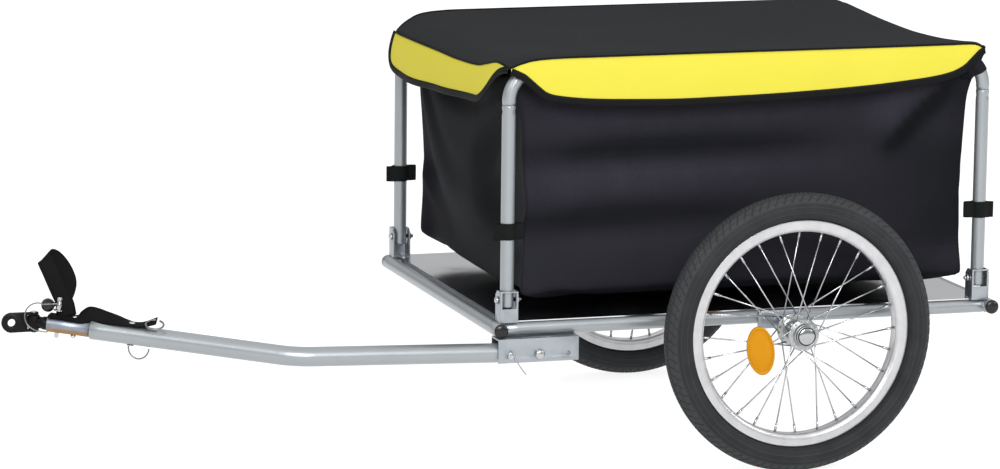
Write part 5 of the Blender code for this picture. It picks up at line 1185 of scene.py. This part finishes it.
# Coupling: a steel pull pin with a black ball knob drops through the tube and the hitch's neck, and a
# sprung wire ring keeps it down.
HEAD_MIDDLE, PULL_BACK = 0.02975, 0.0135
pull = mm((0.1, 39.5), (3, 39.5), (4, 39), (4.2, 38.3), (4.2, 33.8), (3.7, 33.3), (3.7, 32.5), (4.2, 32),
          (4.2, 20.5), (3.9, 20), (3, 20), (3, -16.8), (2.1, -18), (0.1, -18))
lathe("coupling_pull_pin", pull, on_bar(PULL_BACK), ABOVE, steel, "coupling_pin_body", "coupling_pin",
      count=32)
washer = mm((3.1, 20.1), (6.6, 20.1), (7, 20.5), (7, 21.1), (6.6, 21.4), (4.3, 21.4))
lathe("coupling_washer", washer, on_bar(PULL_BACK), ABOVE, steel, "coupling_pin_body", count=32,
      ring_shaped=True)
swell = np.radians(np.linspace(90, -64, 22))
ball = np.stack([0.0094 * np.cos(swell) + 0.0001, 0.0160 + 0.0094 * np.sin(swell)], -1)
ball = np.vstack([ball, mm((3, 6.6), (2.9, 3), (0.1, 2.8))])
lathe("ball_knob", ball, on_bar(PULL_BACK, 0, HEAD_MIDDLE), unit(AHEAD - 0.26 * ABOVE), plug_plastic,
      "coupling_pin_body", count=40)
SNAP_R, snap_level, snap_mid = 0.0194, HEAD_MIDDLE + 0.0085 * 0.35, HEAD_MIDDLE - 0.0180
snap = [on_bar(PULL_BACK, left, snap_level - down) for left, down in mm((5.1, 0), (10, 0), (15, 0.3))]
snap += [on_bar(-0.0092 - SNAP_R * math.cos(a), 0.0190, snap_mid + SNAP_R * math.sin(a))
         for a in np.radians(108 - 14 * np.arange(15))]
snap += [on_bar(-0.0020, 0.0186, snap_mid - 0.0198), on_bar(0.0050, 0.0172, snap_mid - 0.0198)]
tube("snap_wire", flow(snap, 110), 0.0009, wire_steel, "snap_ring_body", "snap_ring", side=(0.3, 0.2, 0.93),
     edge=0.0003, count=10)

# Hitch: a black steel neck in the tube's mouth, and an eye plate whose fork turns on the neck's end.
black_steel = Finish("black_steel", "black_steel", Coat_Weight=0.08, Coat_Roughness=0.2,
                     Specular_IOR_Level=0.12)
orange_peel = black_steel.noise(260.0, 3.0, 0.5)
scuffs = black_steel.noise(90.0, 5.0, 0.75).rise(0.66, 0.74)
black_steel.feed(Base_Color=black_steel.mix(scuffs, (0.003, 0.003, 0.003), (0.03, 0.03, 0.03)),
                 Roughness=0.34 + 0.16 * orange_peel).bump(orange_peel, 0.00008)
KNUCKLE = on_bar(-0.0195)
neck = mm((0.1, -9.1), (7.8, -9.1), (8.2, -8.8), (8.2, 12), (9, 13), (9.2, 14), (9.2, 18.5), (8.6, 19.3),
          (8, 19.4), (8, 29), (0.1, 29))
lathe("neck_shank", neck, KNUCKLE, -AHEAD, black_steel, "drawbar", "hitch_neck", count=40)
barrel = mm((0.1, 9.2), (7.4, 9.2), (8.1, 8.7), (8.2, 8))
barrel = np.vstack([barrel, barrel[::-1] * (1, -1)])
lathe("neck_barrel", barrel, KNUCKLE, (0, 0, 1), black_steel, "drawbar", count=40)
softened("hitch_eye", "eye_plate", black_steel, "hitch_eye_body", 0.0010)
knuckle_head = mm((0.1, 1.9), (2, 1.8), (3.3, 1.2), (3.8, 0.3), (3.6, -0.2), (0.1, -0.2))
for name, way in (("upper", 1), ("lower", -1)):
    lathe(name + "_knuckle_rivet", knuckle_head, KNUCKLE + (0, 0, way * 0.0135), (0, 0, way), steel,
          "hitch_eye_body", count=24)


# Safety strap: webbing laid along both tubes and held by their pins, its front sewn into a standing
# loop. A wire ring hangs at its rear end.
OVER_COUPLING, OVER_BAR = COUPLING_R + 0.0014, BAR_R + 0.0014
lying = [(0.0010, OVER_COUPLING, 4), (0.0135, OVER_COUPLING, 4), (0.0260, OVER_COUPLING, 6),
         (0.0400, OVER_COUPLING + 0.0002, 14), (0.0460, OVER_COUPLING + 0.0020, 42),
         (0.0525, OVER_COUPLING + 0.0054, 60), (0.0585, OVER_COUPLING + 0.0084, 72),
         (0.0680, OVER_BAR + 0.0056, 60), (0.0800, OVER_BAR + 0.0040, 44), (0.0950, OVER_BAR + 0.0026, 28),
         (0.1060, OVER_BAR + 0.0012, 15), (0.1180, OVER_BAR + 0.0002, 5), (0.1290, OVER_BAR + 0.0006, 8),
         (0.1380, OVER_BAR + 0.0032, 12), (0.1450, OVER_BAR + 0.0062, 16), (0.1515, OVER_BAR + 0.0092, 18)]
behind, over, lean = np.array(lying).T
lying_path = flow([on_bar(back, 0.0, up) for back, up in zip(behind, over)], 150)
twist = np.radians(np.interp((MOUTH - lying_path) @ AHEAD, behind, lean))[:, None]
lying_across = BESIDE * np.cos(twist) - ABOVE * np.sin(twist)
facing = np.cross(lying_across, np.gradient(lying_path, axis=0))
facing *= np.sign(facing @ (ABOVE + BESIDE * 0.5))[:, None]
strap_webbing = Finish("strap_webbing", "black_webbing", Specular_IOR_Level=0.06)
across, along, _ = strap_webbing.parts(strap_webbing.place("UV"))
rib = (along * 3600.0).sine() * (across * 4200.0).sine()
fuzz = strap_webbing.noise(800.0, 3.0, 0.7)
by_edge = 1 - ((across - 0.0095).size() - 0.0070).size().rise(0.0004, 0.0008)
edge_stitch = by_edge * (along * 1700.0).sine().rise(-0.2, 0.2)
strap_webbing.feed(Base_Color=strap_webbing.mix(fuzz * 0.7 + edge_stitch * 0.5, (0.004, 0.004, 0.004),
                                                (0.014, 0.014, 0.014)),
                   Roughness=0.66 + 0.16 * fuzz).bump(rib * 0.7 + fuzz * 0.6 + edge_stitch, 0.00035)
ribbon("lying_strap", lying_path, 0.022, 0.0026, facing, strap_webbing, "drawbar")

# The standing loop's outline in millimetres (behind the mouth, to its left, above it), and the
# direction across the webbing in tenths.
loop_rows = mm((30, 10, 16, 9, -4.4, -0.1), (26.2, 9.9, 31.2, 9, -4.4, 0.4),
               (20.5, 12.4, 42.4, 8.7, -4.3, 2.4), (12.6, 17.7, 59.2, 8, -4.1, 4.4),
               (5.6, 21.5, 74.4, 7.9, -4.1, 4.6), (-1.1, 23.1, 87.1, 6.8, -3.6, 6.4),
               (-6, 19.6, 94.2, 5.4, -3, 7.8), (-6.3, 8.6, 95, 5.4, -3, 7.8),
               (1.7, -2.9, 90.8, 4.5, -3.7, 8.1), (13, -10.1, 78.1, 5.2, -6, 6),
               (23.3, -9.9, 62.6, 6, -7.9, 1.2), (24.6, -2.2, 50.1, 6.7, -7.4, -0.7),
               (21.8, 5.8, 40, 8.5, -5.3, 0.3), (26.2, 6, 28.8, 9, -4.4, 0.4),
               (30.2, 6.8, 16, 9, -4.4, -0.1))
rows = flow(loop_rows, 130)
bar_axes = np.array([-AHEAD, BESIDE, ABOVE])
loop_path = MOUTH + (rows[:, :3] + (-0.0040, -0.0127, -0.0024)) @ bar_axes
facing = np.cross(rows[:, 3:] @ bar_axes, np.gradient(loop_path, axis=0))
standing = ribbon("standing_loop", loop_path, 0.0240, 0.0024, facing, strap_webbing, "drawbar")
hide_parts("safety_strap")
END_RING_R, lean_down = 0.0122, unit(BESIDE - 0.35 * ABOVE)
ring_mid = on_bar(0.1515, 0, OVER_BAR + 0.0092) + lean_down * 0.0104
turn = np.radians(np.linspace(-160, 175, 64))[:, None]
ring_path = ring_mid + END_RING_R * (np.sin(turn) * AHEAD + np.cos(turn) * lean_down)
tube("strap_end_ring", ring_path, 0.0014, wire_steel, "drawbar", "strap_ring", side=ABOVE, edge=0.0004,
     count=12)
